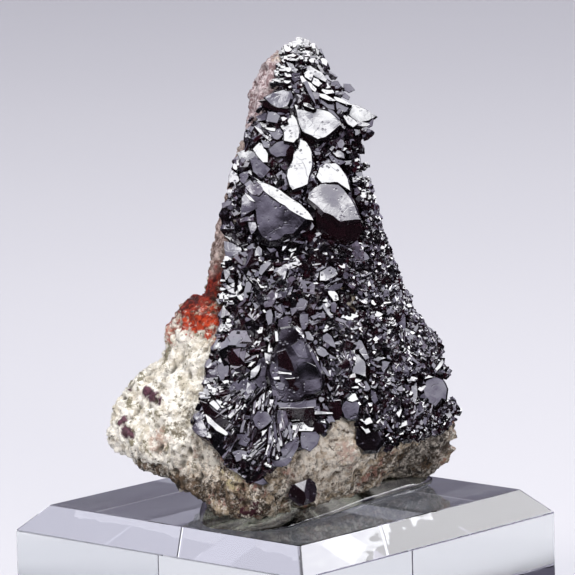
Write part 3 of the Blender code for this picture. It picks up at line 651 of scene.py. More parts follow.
def turns(quaternions):
    """Rotation matrices of quaternions (w, x, y, z), normalised first, by the usual sum of products."""
    w, x, y, z = (quaternions / np.linalg.norm(quaternions, axis=1)[:, None]).T
    rows = [
        [1 - 2 * (y * y + z * z), 2 * (x * y - w * z), 2 * (x * z + w * y)],
        [2 * (x * y + w * z), 1 - 2 * (x * x + z * z), 2 * (y * z - w * x)],
        [2 * (x * z - w * y), 2 * (y * z + w * x), 1 - 2 * (x * x + y * y)],
    ]
    return np.array(rows).transpose(2, 0, 1)


def standing_on(normals):
    """Rotation matrices whose third column is the normal and whose first lies nearly level along the surface."""
    first = np.cross(NEARLY_UP, normals)
    first /= np.linalg.norm(first, axis=1)[:, None]
    return np.stack([first, np.cross(normals, first), normals], axis=2)


def out_direction(turned, tilted):
    """The unit vector towards the viewer's side, turned right and tilted up by degrees."""
    turned, tilted = math.radians(turned), math.radians(tilted)
    level = math.cos(tilted)
    return np.array([math.sin(turned) * level, -math.cos(turned) * level, math.sin(tilted)])


def facing(turned, tilted):
    """The axes of a face, as columns right, up and out, turned right and tilted up by degrees."""
    out = out_direction(turned, tilted)
    right = np.cross((0, 0, 1), out)
    right /= np.linalg.norm(right)
    return np.stack([right, np.cross(out, right), out], axis=1)


def spun_and_tipped(count, tip):
    """Turns about the third axis by any angle, then about a random level axis by about tip radians."""
    half = random.random(count) * np.pi
    spin = turns(np.stack([np.cos(half), 0 * half, 0 * half, np.sin(half)], axis=1))
    lean = random.normal(0, tip / 2, (count, 2))
    tipping = turns(np.concatenate([np.ones((count, 1)), lean, np.zeros((count, 1))], axis=1))
    return tipping @ spin


def grown_in_step(places, normals, patch_size, loose, tip):
    """A turn for each place: the turn of its patch with a small error, or for a loose share one of its own."""
    patch_count = int(max(2, outer_area.sum() / 2 / (patch_size * MM) ** 2))
    centres = places[random.integers(0, len(places), patch_count)]
    nearest = np.argmin(((places[:, None] - centres[None]) ** 2).sum(axis=2), axis=1)
    shared = spun_and_tipped(len(centres), tip)[nearest]
    own = spun_and_tipped(len(places), tip * 1.5)
    small = random.normal(0, TURN_ERROR, (len(places), 3))
    error = turns(np.concatenate([np.ones((len(places), 1)), small], axis=1))
    chosen = np.where((random.random(len(places)) < loose)[:, None, None], own, shared)
    return standing_on(normals) @ chosen @ error


def placed_forms(forms, places, rotations, sizes):
    """Corner = place + turn · (size × form corner), for every crystal; all forms in one pair of arrays."""
    which = random.integers(0, len(forms), len(places))
    corners, triangles, count = [], [], 0
    for index, (form, faces) in enumerate(forms):
        mine = which == index
        moved = places[mine, None] + np.einsum("nij,nvj->nvi", rotations[mine], sizes[mine, None] * form[None])
        first = count + len(form) * np.arange(mine.sum())
        corners.append(moved.reshape(-1, 3))
        triangles.append((faces[None] + first[:, None, None]).reshape(-1, 3))
        count += moved.shape[0] * len(form)
    return np.concatenate(corners), np.concatenate(triangles)


# %% [markdown]
# ### The leading faces
#
# The crystals that one would know again are described as they are seen. Each row says how far a face
# is turned to the right and tilted up, in degrees, and gives the seen places of its corners; a large
# crystal also has its bevel in millimetres. Further outlines say where the crust ends, and in which
# zones it is frosted with the finest crystals only.

# %% Main crystals as they are seen
# Each crystal: degrees turned right and tilted up, bevel in millimetres, corners as seen places.
PLATES = {
    "great_grey": (-6, 13, 0.9, (
        (-4.1, 41.5), (-2.8, 42.2), (-1.6, 40.7), (0.8, 39.0), (3.5, 37.2), (2.9, 36.4), (1.8, 35.3),
        (0.7, 35.2), (-0.1, 34.5), (-1.3, 34.4), (-2.3, 35.0), (-2.8, 36.1), (-3.0, 38.2))),
    "blue": (10, 33, 0.5, (
        (4.0, 40.6), (4.8, 41.3), (5.7, 41.8), (6.9, 41.9), (7.8, 41.7), (8.6, 40.9), (9.4, 39.8),
        (10.0, 38.6), (10.6, 37.0), (9.6, 36.9), (8.0, 36.8), (7.1, 37.5), (5.9, 38.0), (4.9, 39.0),
        (3.9, 39.9))),
    "blue_top": (6, 44, 0.3, (
        (5.0, 42.7), (5.5, 43.9), (6.2, 44.4), (7.6, 44.5), (8.3, 43.8), (8.9, 42.7), (9.2, 41.8),
        (9.4, 40.9), (8.6, 41.4), (7.8, 42.0), (6.8, 42.0), (5.7, 41.9))),
    "upper_leaf": (-4, 41, 0.25, (
        (1.1, 49.9), (2.0, 51.0), (2.6, 50.2), (2.9, 48.6), (2.7, 47.9), (2.1, 47.4), (0.9, 47.6),
        (0.9, 48.9), (0.5, 49.5))),
    "lower_leaf": (2, 42, 0.25, (
        (3.2, 48.0), (3.9, 47.2), (4.4, 46.0), (4.5, 44.3), (4.1, 42.9), (3.8, 41.8), (2.8, 41.4),
        (1.9, 41.1), (1.5, 41.7), (1.2, 42.9), (1.3, 43.7), (2.0, 45.0), (2.2, 46.1), (2.1, 47.3),
        (2.6, 47.9))),
    "pale": (4, 34, 0.35, (
        (2.4, 52.3), (3.7, 52.1), (5.2, 51.7), (6.5, 51.4), (7.1, 51.1), (8.0, 50.2), (8.3, 49.6),
        (7.5, 48.9), (6.3, 48.0), (5.3, 47.7), (4.0, 48.5), (3.3, 48.8), (2.9, 49.8), (2.7, 50.9))),
    "jutting": (14, 42, 0.25, (
        (9.5, 52.2), (10.4, 52.1), (11.7, 51.4), (13.0, 50.6), (12.3, 50.2), (11.7, 50.0), (10.9, 49.8),
        (9.9, 50.4), (9.2, 51.1), (9.2, 51.7))),
    "grey_lens": (-14, 20, 0.35, (
        (-1.6, 53.4), (-0.3, 54.0), (0.9, 54.3), (1.7, 54.0), (1.8, 53.1), (1.4, 52.2), (0.3, 51.9),
        (-0.8, 52.5))),
    "grey_cube": (-6, 20, 0.3, (
        (-1.1, 46.5), (-0.3, 47.3), (0.7, 47.6), (1.7, 47.4), (1.4, 46.4), (1.0, 45.6), (-0.1, 45.5),
        (-0.9, 45.9))),
    "tall_translucent": (2, 10, 0.5, (
        (-0.1, 22.5), (1.1, 22.8), (1.9, 22.5), (2.8, 21.3), (3.7, 19.4), (4.4, 17.8), (5.1, 16.4),
        (5.2, 15.0), (4.9, 14.3), (4.1, 13.8), (2.9, 13.8), (2.0, 13.0), (0.2, 12.8), (-1.0, 13.4),
        (-1.5, 14.7), (-1.9, 16.3), (-1.6, 17.9), (-0.8, 19.5), (-0.4, 21.1))),
    "translucent_side": (-18, 14, 0.2, (
        (-4.3, 16.1), (-3.5, 17.7), (-2.7, 18.8), (-1.9, 19.0), (-1.6, 18.2), (-2.1, 15.8), (-2.3, 13.8),
        (-3.3, 13.8), (-4.0, 15.0))),
    "round": (4, 14, 0.3, (
        (7.9, 12.4), (8.6, 13.0), (9.6, 12.7), (10.1, 12.2), (9.9, 11.2), (9.6, 10.4), (8.9, 10.2),
        (8.1, 10.6), (7.7, 11.6))),
    "lower_round": (0, 4, 0.6, (
        (9.5, 9.2), (10.7, 8.3), (12.4, 8.5), (12.8, 7.4), (12.1, 6.1), (10.5, 6.0), (9.5, 6.9))),
    "right_grey": (16, 22, 0.3, (
        (18.5, 14.3), (19.1, 15.3), (20.0, 15.6), (21.2, 15.1), (21.7, 14.1), (21.5, 12.6), (21.0, 12.9),
        (20.1, 11.8), (19.1, 12.5), (18.8, 13.3))),
    "foot_wedge": (14, 20, 0.2, (
        (0.2, 5.3), (1.0, 6.3), (1.6, 7.7), (2.0, 7.5), (1.8, 6.6), (0.7, 5.0), (-0.2, 4.3), (-1.7, 4.2),
        (-1.8, 4.9), (-1.1, 5.3))),
    "tip_ridge": (-12, 18, 0.2, (
        (-8.0, 4.9), (-7.0, 4.2), (-5.9, 3.9), (-4.9, 2.9), (-3.1, 2.8), (-2.3, 1.9), (-3.1, 1.7),
        (-4.9, 2.3), (-6.2, 3.3), (-7.5, 4.1))),
    "left_low": (-30, 6, 0.25, (
        (-9.8, 9.1), (-8.0, 8.3), (-7.7, 6.5), (-8.4, 5.7), (-9.3, 6.8))),
    "centre_low": (-6, 12, 0.3, (
        (-4.3, 11.3), (-2.7, 11.9), (-2.5, 10.4), (-3.3, 9.4), (-4.5, 9.8))),
}
FACET_BEVEL = 0.07
# Each face: degrees turned right and tilted up, corners as seen places.
FACETS = {
    "upper spire": (
        (2, 43, ((3.6, 56.9), (4.4, 56.8), (4.9, 56.2), (4.6, 55.5), (3.8, 55.9))),
        (4, 43, ((4.7, 56.0), (5.5, 55.6), (6.0, 55.0), (5.5, 54.6), (4.6, 55.2))),
        (0, 41, ((3.9, 55.5), (4.6, 55.1), (5.3, 54.3), (5.1, 53.9), (4.4, 54.5))),
        (6, 43, ((6.0, 55.5), (6.7, 55.2), (7.1, 54.5), (6.5, 54.4), (5.9, 55.0))),
        (2, 43, ((5.6, 54.4), (6.5, 54.2), (7.4, 54.1), (7.6, 53.7), (6.5, 53.6))),
        (14, -12, ((7.1, 54.7), (7.6, 54.7), (7.8, 54.0), (7.3, 54.0))),
        (4, 34, ((3.6, 57.2), (4.5, 57.4), (6.0, 56.4), (6.7, 55.6), (6.5, 55.2), (5.1, 56.0))),
        (10, 25, ((7.2, 55.2), (8.1, 55.3), (8.5, 54.6), (8.0, 54.3), (7.3, 54.4))),
        (20, 25, ((8.9, 54.9), (9.7, 54.9), (10.3, 54.1), (9.5, 53.8), (9.0, 54.1))),
        (12, -16, ((7.7, 54.1), (8.6, 54.4), (8.5, 53.8), (7.8, 53.7))),
        (14, 25, ((8.2, 53.7), (9.0, 53.7), (9.6, 53.2), (9.4, 52.8), (8.7, 53.2))),
        (2, 43, ((5.2, 53.9), (6.4, 53.6), (7.8, 52.7), (7.0, 52.7), (6.0, 53.1))),
        (4, 43, ((7.4, 53.3), (8.6, 52.9), (9.9, 52.1), (9.0, 52.3), (7.9, 52.7))),
        (8, 23, ((5.8, 53.0), (7.0, 52.7), (7.5, 52.3), (7.5, 51.5), (6.7, 51.8), (5.8, 52.5))),
        (12, 23, ((7.8, 52.5), (8.7, 52.4), (9.4, 51.8), (9.1, 51.3), (8.4, 51.1), (7.9, 51.6))),
        (6, 43, ((8.6, 50.8), (9.3, 50.7), (10.2, 50.1), (10.6, 49.6), (10.0, 49.2), (9.3, 49.6))),
        (10, 34, ((10.4, 50.0), (11.7, 49.7), (12.2, 49.5), (11.7, 49.2), (10.6, 49.4))),
        (14, 34, ((10.1, 48.9), (10.9, 48.9), (11.0, 48.4), (10.3, 48.1))),
        (16, 15, ((11.8, 50.3), (12.7, 50.3), (12.5, 49.3), (11.9, 49.0))),
        (0, -14, ((3.4, 53.8), (4.4, 53.4), (4.4, 52.5), (3.5, 52.4))),
        (0, 43, ((3.5, 52.6), (4.3, 52.4), (5.2, 51.8), (4.8, 51.7), (3.6, 52.2))),
        (6, 20, ((6.6, 51.9), (7.4, 51.4), (8.3, 50.3), (8.0, 49.9), (7.2, 50.7))),
        (-4, 12, ((2.1, 56.5), (3.0, 56.5), (3.2, 55.7), (2.5, 55.3), (2.0, 55.8))),
        (-2, 14, ((2.1, 54.9), (3.0, 54.8), (3.0, 53.8), (2.3, 54.0))),
        (-8, 26, ((-1.4, 50.2), (-1.1, 51.4), (-0.2, 51.4), (0.4, 50.9), (0.0, 50.0))),
        (-20, 13, ((-2.7, 50.8), (-1.7, 51.3), (-1.3, 51.3), (-1.5, 50.4), (-2.5, 50.3))),
        (-4, 39, ((-2.2, 50.1), (-1.2, 49.8), (-0.0, 49.3), (-0.3, 48.9), (-1.3, 49.1), (-2.0, 49.6))),
        (-2, 20, ((-1.2, 48.9), (-0.1, 49.2), (0.5, 49.5), (0.8, 48.5), (0.2, 47.8), (-0.4, 47.9))),
        (-8, 43, ((-3.0, 49.6), (-2.0, 49.1), (-0.6, 47.9), (-1.0, 47.6), (-2.2, 48.6))),
        (0, -14, ((-2.4, 52.9), (-1.5, 53.0), (-0.6, 52.3), (0.6, 51.7), (1.6, 51.8), (1.4, 51.2),
            (-0.1, 51.5), (-1.6, 52.1))),
        (2, 30, ((1.4, 58.0), (2.2, 57.7), (3.2, 56.6), (2.9, 56.2), (1.9, 56.9))),
    ),
    "leaves": (
        (0, -18, ((1.8, 47.1), (2.2, 46.3), (2.0, 45.3), (1.5, 44.6), (1.1, 45.0), (1.2, 46.2))),
        (-10, 34, ((-5.3, 46.2), (-4.0, 46.6), (-3.0, 46.1), (-2.1, 45.4), (-3.1, 45.0), (-5.0, 45.2))),
        (-2, 40, ((-3.2, 46.6), (-2.4, 47.4), (-1.8, 47.0), (-1.3, 46.0), (-1.3, 44.8), (-1.9, 44.8),
            (-2.7, 45.7))),
        (-8, 26, ((-2.1, 47.8), (-1.0, 47.3), (-1.1, 46.7), (-1.8, 46.8))),
        (-10, 22, ((-5.1, 43.3), (-4.5, 43.6), (-3.5, 43.7), (-4.0, 42.9), (-4.5, 42.0), (-5.0, 42.3))),
        (-16, 30, ((-6.2, 43.8), (-5.4, 43.7), (-5.1, 42.5), (-5.6, 41.9), (-6.5, 42.2), (-6.4, 43.1))),
        (0, 23, ((-0.3, 43.1), (0.5, 43.7), (1.3, 42.7), (1.5, 41.7), (1.0, 41.2), (0.4, 41.9))),
        (4, -16, ((3.4, 48.3), (4.7, 48.3), (5.7, 47.4), (4.9, 47.1), (4.2, 47.4))),
        (6, 30, ((7.0, 46.1), (7.8, 46.3), (8.7, 45.7), (8.8, 45.1), (7.8, 45.3))),
        (8, 15, ((6.7, 45.6), (7.9, 45.0), (8.9, 44.6), (8.2, 44.2), (7.1, 44.8))),
        (6, 33, ((8.3, 44.7), (9.7, 44.8), (9.5, 44.3), (8.4, 44.3))),
        (4, 34, ((7.8, 47.3), (8.2, 46.7), (9.2, 46.4), (8.8, 46.1), (7.9, 46.3))),
        (18, 28, ((10.0, 45.8), (10.8, 45.6), (10.9, 44.4), (10.2, 44.0))),
        (20, 30, ((10.2, 43.5), (11.0, 43.2), (11.3, 42.3), (10.3, 42.4))),
    ),
    "round the great crystal": (
        (0, 43, ((-2.8, 42.4), (-1.4, 41.9), (0.2, 41.1), (1.5, 40.1), (2.8, 39.2), (3.8, 38.1),
            (4.5, 37.0), (3.5, 37.2), (2.2, 37.9), (0.8, 39.0), (-0.5, 39.9), (-1.8, 40.9))),
        (-16, 20, ((-4.3, 41.5), (-3.3, 42.2), (-2.4, 41.9), (-2.0, 41.1), (-2.6, 40.4), (-3.5, 40.6))),
        (-22, 14, ((-4.8, 40.3), (-4.3, 40.7), (-3.1, 39.4), (-2.9, 38.8), (-4.1, 38.1), (-5.0, 37.5))),
        (-6, 43, ((-4.4, 40.8), (-3.8, 40.4), (-3.1, 39.6), (-3.8, 39.9))),
        (-18, 20, ((-4.0, 37.5), (-2.9, 38.2), (-2.8, 36.9), (-3.1, 35.9), (-3.7, 35.3), (-4.1, 36.4))),
        (10, 24, ((3.0, 36.4), (4.2, 36.9), (4.6, 36.2), (4.2, 35.7), (2.8, 35.3))),
        (0, 32, ((-1.1, 34.2), (0.1, 35.0), (0.7, 35.2), (1.3, 35.0), (1.4, 34.4), (0.0, 34.1))),
        (2, 38, ((1.4, 34.4), (2.2, 35.1), (3.0, 35.5), (2.7, 34.9), (1.8, 34.3))),
        (-8, 43, ((-7.3, 35.2), (-6.4, 35.0), (-6.0, 35.9), (-5.2, 35.4), (-4.3, 34.6), (-4.6, 34.2),
            (-5.5, 33.9), (-6.4, 34.5))),
        (-6, 42, ((-5.2, 33.8), (-4.4, 34.2), (-3.6, 34.0), (-3.7, 33.3), (-4.6, 33.2))),
        (-14, 22, ((-7.3, 34.5), (-6.3, 34.2), (-5.2, 33.8), (-5.0, 33.2), (-5.9, 32.6), (-6.8, 32.1),
            (-7.2, 32.6))),
        (0, 35, ((1.1, 33.1), (1.6, 33.5), (2.4, 34.0), (2.1, 33.1), (1.5, 32.8))),
        (2, 30, ((3.2, 34.1), (3.6, 34.2), (3.8, 33.3), (3.4, 32.9))),
        (-4, 16, ((-1.9, 33.7), (-1.0, 33.6), (-0.4, 33.1), (-1.2, 32.8))),
        (6, -20, ((4.9, 38.6), (6.2, 37.6), (7.7, 36.8), (10.6, 36.7), (10.9, 35.5), (10.1, 34.2),
            (8.6, 33.5), (7.3, 33.9), (6.0, 34.3), (4.9, 35.4))),
        (4, 28, ((4.1, 34.9), (5.2, 35.4), (5.5, 35.1), (4.5, 34.6))),
        (4, 43, ((6.7, 33.5), (7.5, 33.4), (8.3, 32.8), (7.9, 32.5), (7.0, 33.0))),
        (2, 43, ((5.4, 33.0), (6.3, 32.6), (6.2, 32.3), (5.5, 32.6))),
        (12, 27, ((10.4, 32.8), (11.2, 32.6), (11.8, 31.8), (11.1, 31.5))),
    ),
    "waist": (
        (0, 43, ((2.9, 31.6), (3.7, 31.7), (3.5, 31.2), (3.0, 31.1))),
        (0, 34, ((0.5, 32.3), (1.1, 32.4), (0.9, 31.8), (0.5, 31.8))),
        (-2, 38, ((-2.1, 32.8), (-1.6, 32.4), (-1.2, 31.7), (-1.6, 31.7))),
        (4, 31, ((5.2, 30.1), (5.8, 30.5), (6.7, 30.8), (7.3, 30.4), (7.5, 29.8), (6.7, 29.2), (5.9, 28.9),
            (5.2, 29.0))),
        (2, 26, ((4.3, 30.2), (5.1, 30.8), (6.2, 31.3), (6.0, 30.7), (5.0, 30.2))),
        (2, 27, ((4.2, 29.7), (5.1, 30.0), (4.9, 29.3))),
        (0, 43, ((3.7, 28.8), (4.7, 28.8), (5.3, 28.3), (5.1, 28.1), (4.1, 28.4))),
        (6, 26, ((5.7, 28.6), (6.8, 29.0), (7.7, 29.4), (8.0, 29.1), (6.9, 28.7), (6.0, 28.2))),
        (4, 15, ((6.1, 27.9), (7.0, 28.4), (8.2, 28.5), (7.9, 27.9), (6.9, 27.5))),
        (-4, 33, ((-3.8, 30.8), (-3.2, 30.8), (-2.4, 30.7), (-2.9, 30.1), (-3.7, 30.4))),
        (-8, 30, ((-4.5, 29.0), (-3.8, 29.1), (-3.8, 28.4), (-4.1, 27.5), (-4.5, 26.6), (-5.0, 26.8),
            (-4.8, 27.9))),
        (-8, 32, ((-4.4, 30.3), (-4.0, 30.6), (-4.1, 29.2), (-4.5, 29.1))),
        (-4, 43, ((-5.7, 28.5), (-5.2, 28.7), (-5.1, 28.1), (-5.5, 27.7))),
        (-4, 43, ((-5.8, 27.1), (-5.2, 27.3), (-4.9, 26.7), (-5.3, 26.5))),
        (-16, 22, ((-7.7, 28.8), (-6.9, 28.6), (-6.2, 28.1), (-6.0, 27.4), (-6.8, 27.7))),
        (-2, 32, ((-3.4, 27.2), (-2.9, 27.3), (-2.8, 26.5), (-3.2, 26.3))),
        (-4, 30, ((-3.7, 26.2), (-3.2, 26.1), (-2.9, 25.5), (-3.4, 25.3))),
        (-4, 43, ((-4.1, 25.5), (-3.4, 25.3), (-3.6, 24.9), (-4.0, 25.1))),
        (-2, 43, ((-2.8, 25.5), (-2.3, 25.5), (-2.0, 24.9), (-2.5, 24.9))),
        (-4, 17, ((-1.8, 29.2), (-1.2, 29.4), (-0.6, 29.0), (-0.5, 28.1), (-1.0, 27.7), (-1.5, 28.4))),
        (4, 40, ((6.2, 27.5), (6.9, 27.6), (7.5, 27.0), (7.6, 26.3), (7.0, 26.2), (6.6, 26.7))),
        (2, 43, ((5.4, 26.5), (5.8, 26.7), (6.2, 26.3), (6.1, 26.1), (5.5, 26.2))),
        (2, 36, ((4.3, 26.0), (5.1, 25.8), (6.1, 25.9), (5.8, 25.4), (5.1, 25.1))),
        (8, 17, ((6.5, 25.9), (7.0, 26.2), (7.4, 25.6), (7.1, 24.6), (6.6, 24.8))),
        (-14, 36, ((-7.7, 25.8), (-6.9, 26.4), (-7.0, 25.4), (-7.4, 24.5), (-8.0, 24.2))),
        (-14, 36, ((-7.8, 24.0), (-7.2, 24.1), (-7.5, 23.0), (-8.1, 22.5))),
        (-16, 34, ((-7.5, 30.6), (-6.7, 31.0), (-6.6, 30.0), (-7.2, 29.3))),
        (-12, 38, ((-8.6, 26.7), (-7.9, 27.0), (-7.5, 26.5), (-8.2, 26.1))),
    ),
    "middle": (
        (-2, 23, ((-0.9, 26.4), (-0.7, 26.3), (-0.6, 24.2), (-0.8, 24.1))),
        (0, 25, ((-0.5, 26.2), (-0.1, 26.1), (0.2, 24.6), (-0.2, 24.1), (-0.6, 24.2))),
        (0, 17, ((-0.0, 26.1), (0.4, 25.9), (0.5, 24.7), (0.2, 24.9))),
        (-4, 24, ((-2.0, 25.0), (-1.3, 25.3), (-1.1, 24.5), (-1.3, 23.4), (-1.8, 23.2), (-2.0, 24.0))),
        (0, 21, ((1.1, 26.0), (2.0, 26.4), (3.0, 26.7), (3.6, 26.5), (3.4, 25.7), (3.0, 25.1), (2.1, 25.0),
            (1.4, 24.3))),
        (8, 16, ((3.6, 26.4), (4.0, 26.1), (3.8, 25.2), (3.4, 25.1))),
        (2, 22, ((2.5, 24.5), (3.5, 24.5), (3.5, 23.6), (3.1, 22.5), (2.7, 22.5), (2.4, 23.5))),
        (4, 23, ((3.9, 24.9), (5.8, 25.0), (5.8, 23.9), (4.8, 24.0), (4.2, 23.8), (3.8, 24.2))),
        (6, 14, ((5.0, 23.8), (5.7, 23.7), (5.6, 22.5), (4.9, 22.5))),
        (0, 11, ((-0.3, 23.9), (0.7, 24.3), (1.4, 24.0), (1.1, 23.1), (0.3, 22.6), (-0.5, 23.0))),
        (-6, 30, ((-2.6, 22.4), (-2.2, 22.5), (-2.1, 21.8), (-2.6, 21.7))),
        (-8, 20, ((-8.6, 17.8), (-7.7, 18.5), (-7.1, 17.8), (-7.2, 16.9), (-8.0, 15.8), (-8.8, 16.5))),
        (-6, 33, ((-4.3, 16.0), (-4.2, 17.1), (-3.4, 17.7), (-2.8, 18.1), (-3.1, 17.2), (-3.7, 16.2))),
        (-4, 43, ((-4.6, 17.7), (-3.7, 18.8), (-3.2, 19.9), (-2.6, 20.9), (-2.4, 20.6), (-2.9, 19.6),
            (-3.5, 18.3), (-4.2, 17.7))),
        (-2, 43, ((-1.7, 20.9), (-1.3, 21.0), (-1.3, 19.5), (-1.9, 19.6))),
        (0, 43, ((-0.9, 22.3), (-0.5, 22.3), (-0.5, 21.0), (-0.8, 21.0))),
        (-2, 35, ((-2.3, 19.4), (-1.1, 19.3), (-1.1, 18.7), (-1.6, 18.3), (-2.3, 18.6))),
        (-2, 43, ((-2.2, 18.6), (-1.8, 18.6), (-1.9, 18.0), (-2.2, 18.1))),
        (-10, 30, ((-2.4, 21.4), (-1.6, 21.7), (-1.3, 21.2), (-2.1, 20.9))),
        (-6, 24, ((-2.6, 22.5), (-2.3, 22.6), (-2.5, 21.6), (-3.0, 20.7), (-3.1, 21.2))),
        (6, 33, ((3.1, 22.1), (3.6, 22.2), (4.2, 21.3), (4.1, 20.9), (3.3, 21.2))),
        (0, 15, ((2.4, 21.1), (2.9, 20.7), (3.4, 18.6), (2.1, 18.7), (1.2, 20.3))),
        (4, 8, ((1.8, 18.1), (3.1, 18.1), (4.4, 17.5), (4.9, 16.2), (3.7, 15.7), (2.3, 16.0))),
        (2, 14, ((2.8, 15.6), (4.9, 15.8), (5.0, 14.6), (3.8, 14.2), (2.8, 14.2))),
        (0, -12, ((-0.7, 19.5), (0.4, 19.8), (1.1, 18.4), (1.6, 16.9), (0.7, 17.1), (-0.5, 17.6))),
        (-10, 16, ((-1.4, 18.3), (-0.8, 17.9), (-0.6, 16.8), (-0.9, 15.5), (-1.4, 16.1), (-1.7, 17.1))),
        (-4, 19, ((-1.2, 15.7), (-0.4, 15.6), (0.3, 15.2), (-0.0, 14.4), (-0.9, 14.7))),
        (0, -16, ((0.4, 15.9), (1.6, 16.0), (1.7, 15.6), (1.3, 15.1), (2.1, 14.6), (1.8, 14.2),
            (0.9, 14.7), (0.8, 15.3))),
        (-6, 16, ((-1.5, 14.6), (-0.7, 14.3), (-0.2, 13.5), (-0.7, 13.0), (-1.3, 13.5))),
        (0, 43, ((-0.9, 17.0), (0.2, 16.8), (1.2, 16.7), (1.2, 16.4), (0.2, 16.6), (-0.9, 16.7))),
        (0, 43, ((-1.2, 16.2), (-0.4, 16.2), (-0.4, 15.9), (-1.2, 15.9))),
        (-8, 42, ((-2.5, 13.4), (-2.1, 14.2), (-1.9, 13.9), (-2.3, 13.3))),
        (6, 24, ((4.9, 21.7), (5.7, 22.1), (6.5, 21.5), (7.0, 20.4), (7.1, 19.9), (6.1, 20.3))),
        (4, 31, ((4.5, 19.8), (5.0, 20.1), (5.7, 19.7), (6.2, 19.1), (5.5, 18.7), (4.7, 19.1))),
        (6, 26, ((5.4, 18.7), (6.3, 19.1), (7.1, 18.5), (6.7, 18.2), (5.9, 18.4))),
        (4, 43, ((4.5, 19.0), (4.7, 18.7), (4.8, 18.2), (4.6, 18.3))),
        (8, 20, ((5.0, 18.3), (5.5, 17.5), (6.4, 16.0), (5.9, 16.2), (5.1, 17.3))),
        (8, 31, ((9.6, 20.6), (10.4, 21.0), (11.1, 19.5), (11.5, 18.4), (11.0, 18.2), (10.3, 19.3))),
        (6, 31, ((9.7, 18.9), (10.3, 19.0), (10.8, 18.2), (11.0, 17.1), (11.0, 16.0), (10.0, 16.3),
            (9.2, 16.6), (9.5, 17.7))),
        (4, 43, ((9.0, 15.6), (9.9, 16.1), (11.0, 16.0), (10.7, 15.6), (9.8, 15.1))),
        (4, 22, ((10.3, 15.1), (11.0, 15.5), (11.6, 14.4), (11.0, 14.0), (10.3, 14.3))),
        (8, 19, ((13.2, 18.1), (14.2, 17.8), (13.9, 17.3), (13.4, 16.4), (13.0, 17.1))),
        (6, 33, ((12.0, 18.2), (12.9, 18.8), (13.6, 18.4), (12.6, 18.0))),
        (4, 39, ((8.4, 24.0), (9.3, 24.5), (10.2, 24.1), (9.8, 23.6), (9.0, 23.5))),
        (6, 43, ((10.1, 25.3), (11.0, 24.6), (11.6, 24.1), (11.2, 24.1), (10.4, 24.8))),
        (6, 42, ((11.8, 24.5), (12.6, 24.7), (13.4, 24.3), (13.0, 23.9), (12.1, 24.1))),
        (12, 19, ((15.4, 23.2), (15.9, 24.0), (16.4, 23.7), (16.3, 22.1), (15.6, 22.1))),
    ),
    "right foot": (
        (10, 30, ((16.7, 15.1), (17.7, 15.1), (17.7, 13.3), (17.4, 11.9), (16.7, 12.0))),
        (6, 36, ((16.2, 15.8), (17.0, 15.9), (17.9, 15.6), (17.5, 15.2), (16.5, 15.2))),
        (6, 43, ((18.1, 15.7), (19.2, 16.0), (19.9, 15.7), (18.8, 15.5))),
        (12, 43, ((19.9, 16.8), (20.5, 17.2), (21.2, 18.1), (21.3, 17.7), (20.8, 16.9), (20.0, 16.2))),
        (2, 43, ((8.2, 13.3), (9.0, 13.9), (9.6, 13.7), (9.9, 13.0), (9.1, 12.6), (8.3, 12.9))),
        (4, 43, ((10.7, 13.2), (11.2, 13.9), (11.2, 12.8))),
        (2, 21, ((5.1, 12.6), (5.6, 12.4), (6.3, 11.0), (6.8, 10.0), (6.1, 10.0), (5.4, 11.3))),
        (0, -14, ((5.9, 12.7), (7.5, 12.9), (7.7, 11.3), (7.4, 10.2), (6.7, 10.2), (6.1, 11.3))),
        (4, 43, ((10.1, 10.2), (11.4, 10.5), (11.8, 9.8), (10.9, 9.5))),
        (4, 41, ((10.2, 9.3), (11.0, 9.3), (11.4, 8.5), (10.9, 8.3))),
        (8, 16, ((11.6, 14.2), (12.2, 13.9), (12.5, 12.8), (12.1, 12.3), (11.7, 12.8))),
        (8, 43, ((14.7, 11.3), (15.4, 12.0), (15.7, 11.4), (15.3, 10.4))),
        (8, 43, ((15.5, 10.0), (16.2, 10.4), (16.3, 9.3), (15.6, 9.1))),
        (8, 43, ((15.0, 8.7), (15.6, 9.1), (15.8, 8.1), (15.1, 8.0))),
        (10, 20, ((12.9, 9.8), (13.8, 9.5), (14.4, 8.4), (13.8, 8.5))),
        (14, 36, ((21.2, 10.8), (22.0, 11.2), (22.3, 10.5), (21.7, 10.0))),
    ),
    "lower left": (
        (-14, -16, ((-10.9, 13.1), (-10.2, 12.8), (-9.2, 11.9), (-7.9, 11.0), (-7.0, 10.0), (-7.0, 8.8),
            (-8.2, 9.2), (-9.4, 10.1), (-10.4, 11.2))),
        (-6, 43, ((-10.5, 11.6), (-9.7, 10.9), (-8.6, 9.8), (-7.4, 8.8), (-7.7, 8.5), (-8.9, 9.2),
            (-10.0, 10.3))),
        (-6, 43, ((-9.8, 12.9), (-9.2, 13.3), (-8.4, 12.3), (-8.7, 11.9))),
        (-4, 43, ((-8.9, 13.4), (-8.1, 13.1), (-7.6, 12.3), (-8.1, 12.2))),
        (-4, 43, ((-7.7, 11.8), (-7.3, 11.9), (-7.6, 10.8), (-8.0, 10.8))),
        (-4, 43, ((-7.2, 11.6), (-6.8, 11.8), (-7.1, 10.7), (-7.5, 10.7))),
        (-2, 43, ((-5.3, 14.0), (-4.8, 14.0), (-4.4, 13.4), (-4.8, 12.4), (-5.4, 11.6), (-5.8, 10.7),
            (-6.0, 10.7), (-6.0, 11.3), (-5.5, 12.3), (-4.9, 13.2))),
        (-2, 43, ((-6.0, 10.5), (-5.3, 10.1), (-5.3, 9.7), (-5.8, 9.8))),
        (-2, 20, ((-4.1, 10.7), (-3.4, 11.7), (-2.1, 11.5), (-1.5, 10.4), (-2.4, 9.6), (-3.2, 9.1),
            (-3.8, 9.7))),
        (0, 43, ((-2.0, 10.2), (-1.7, 9.9), (-2.5, 8.7), (-2.9, 8.3), (-2.9, 9.0))),
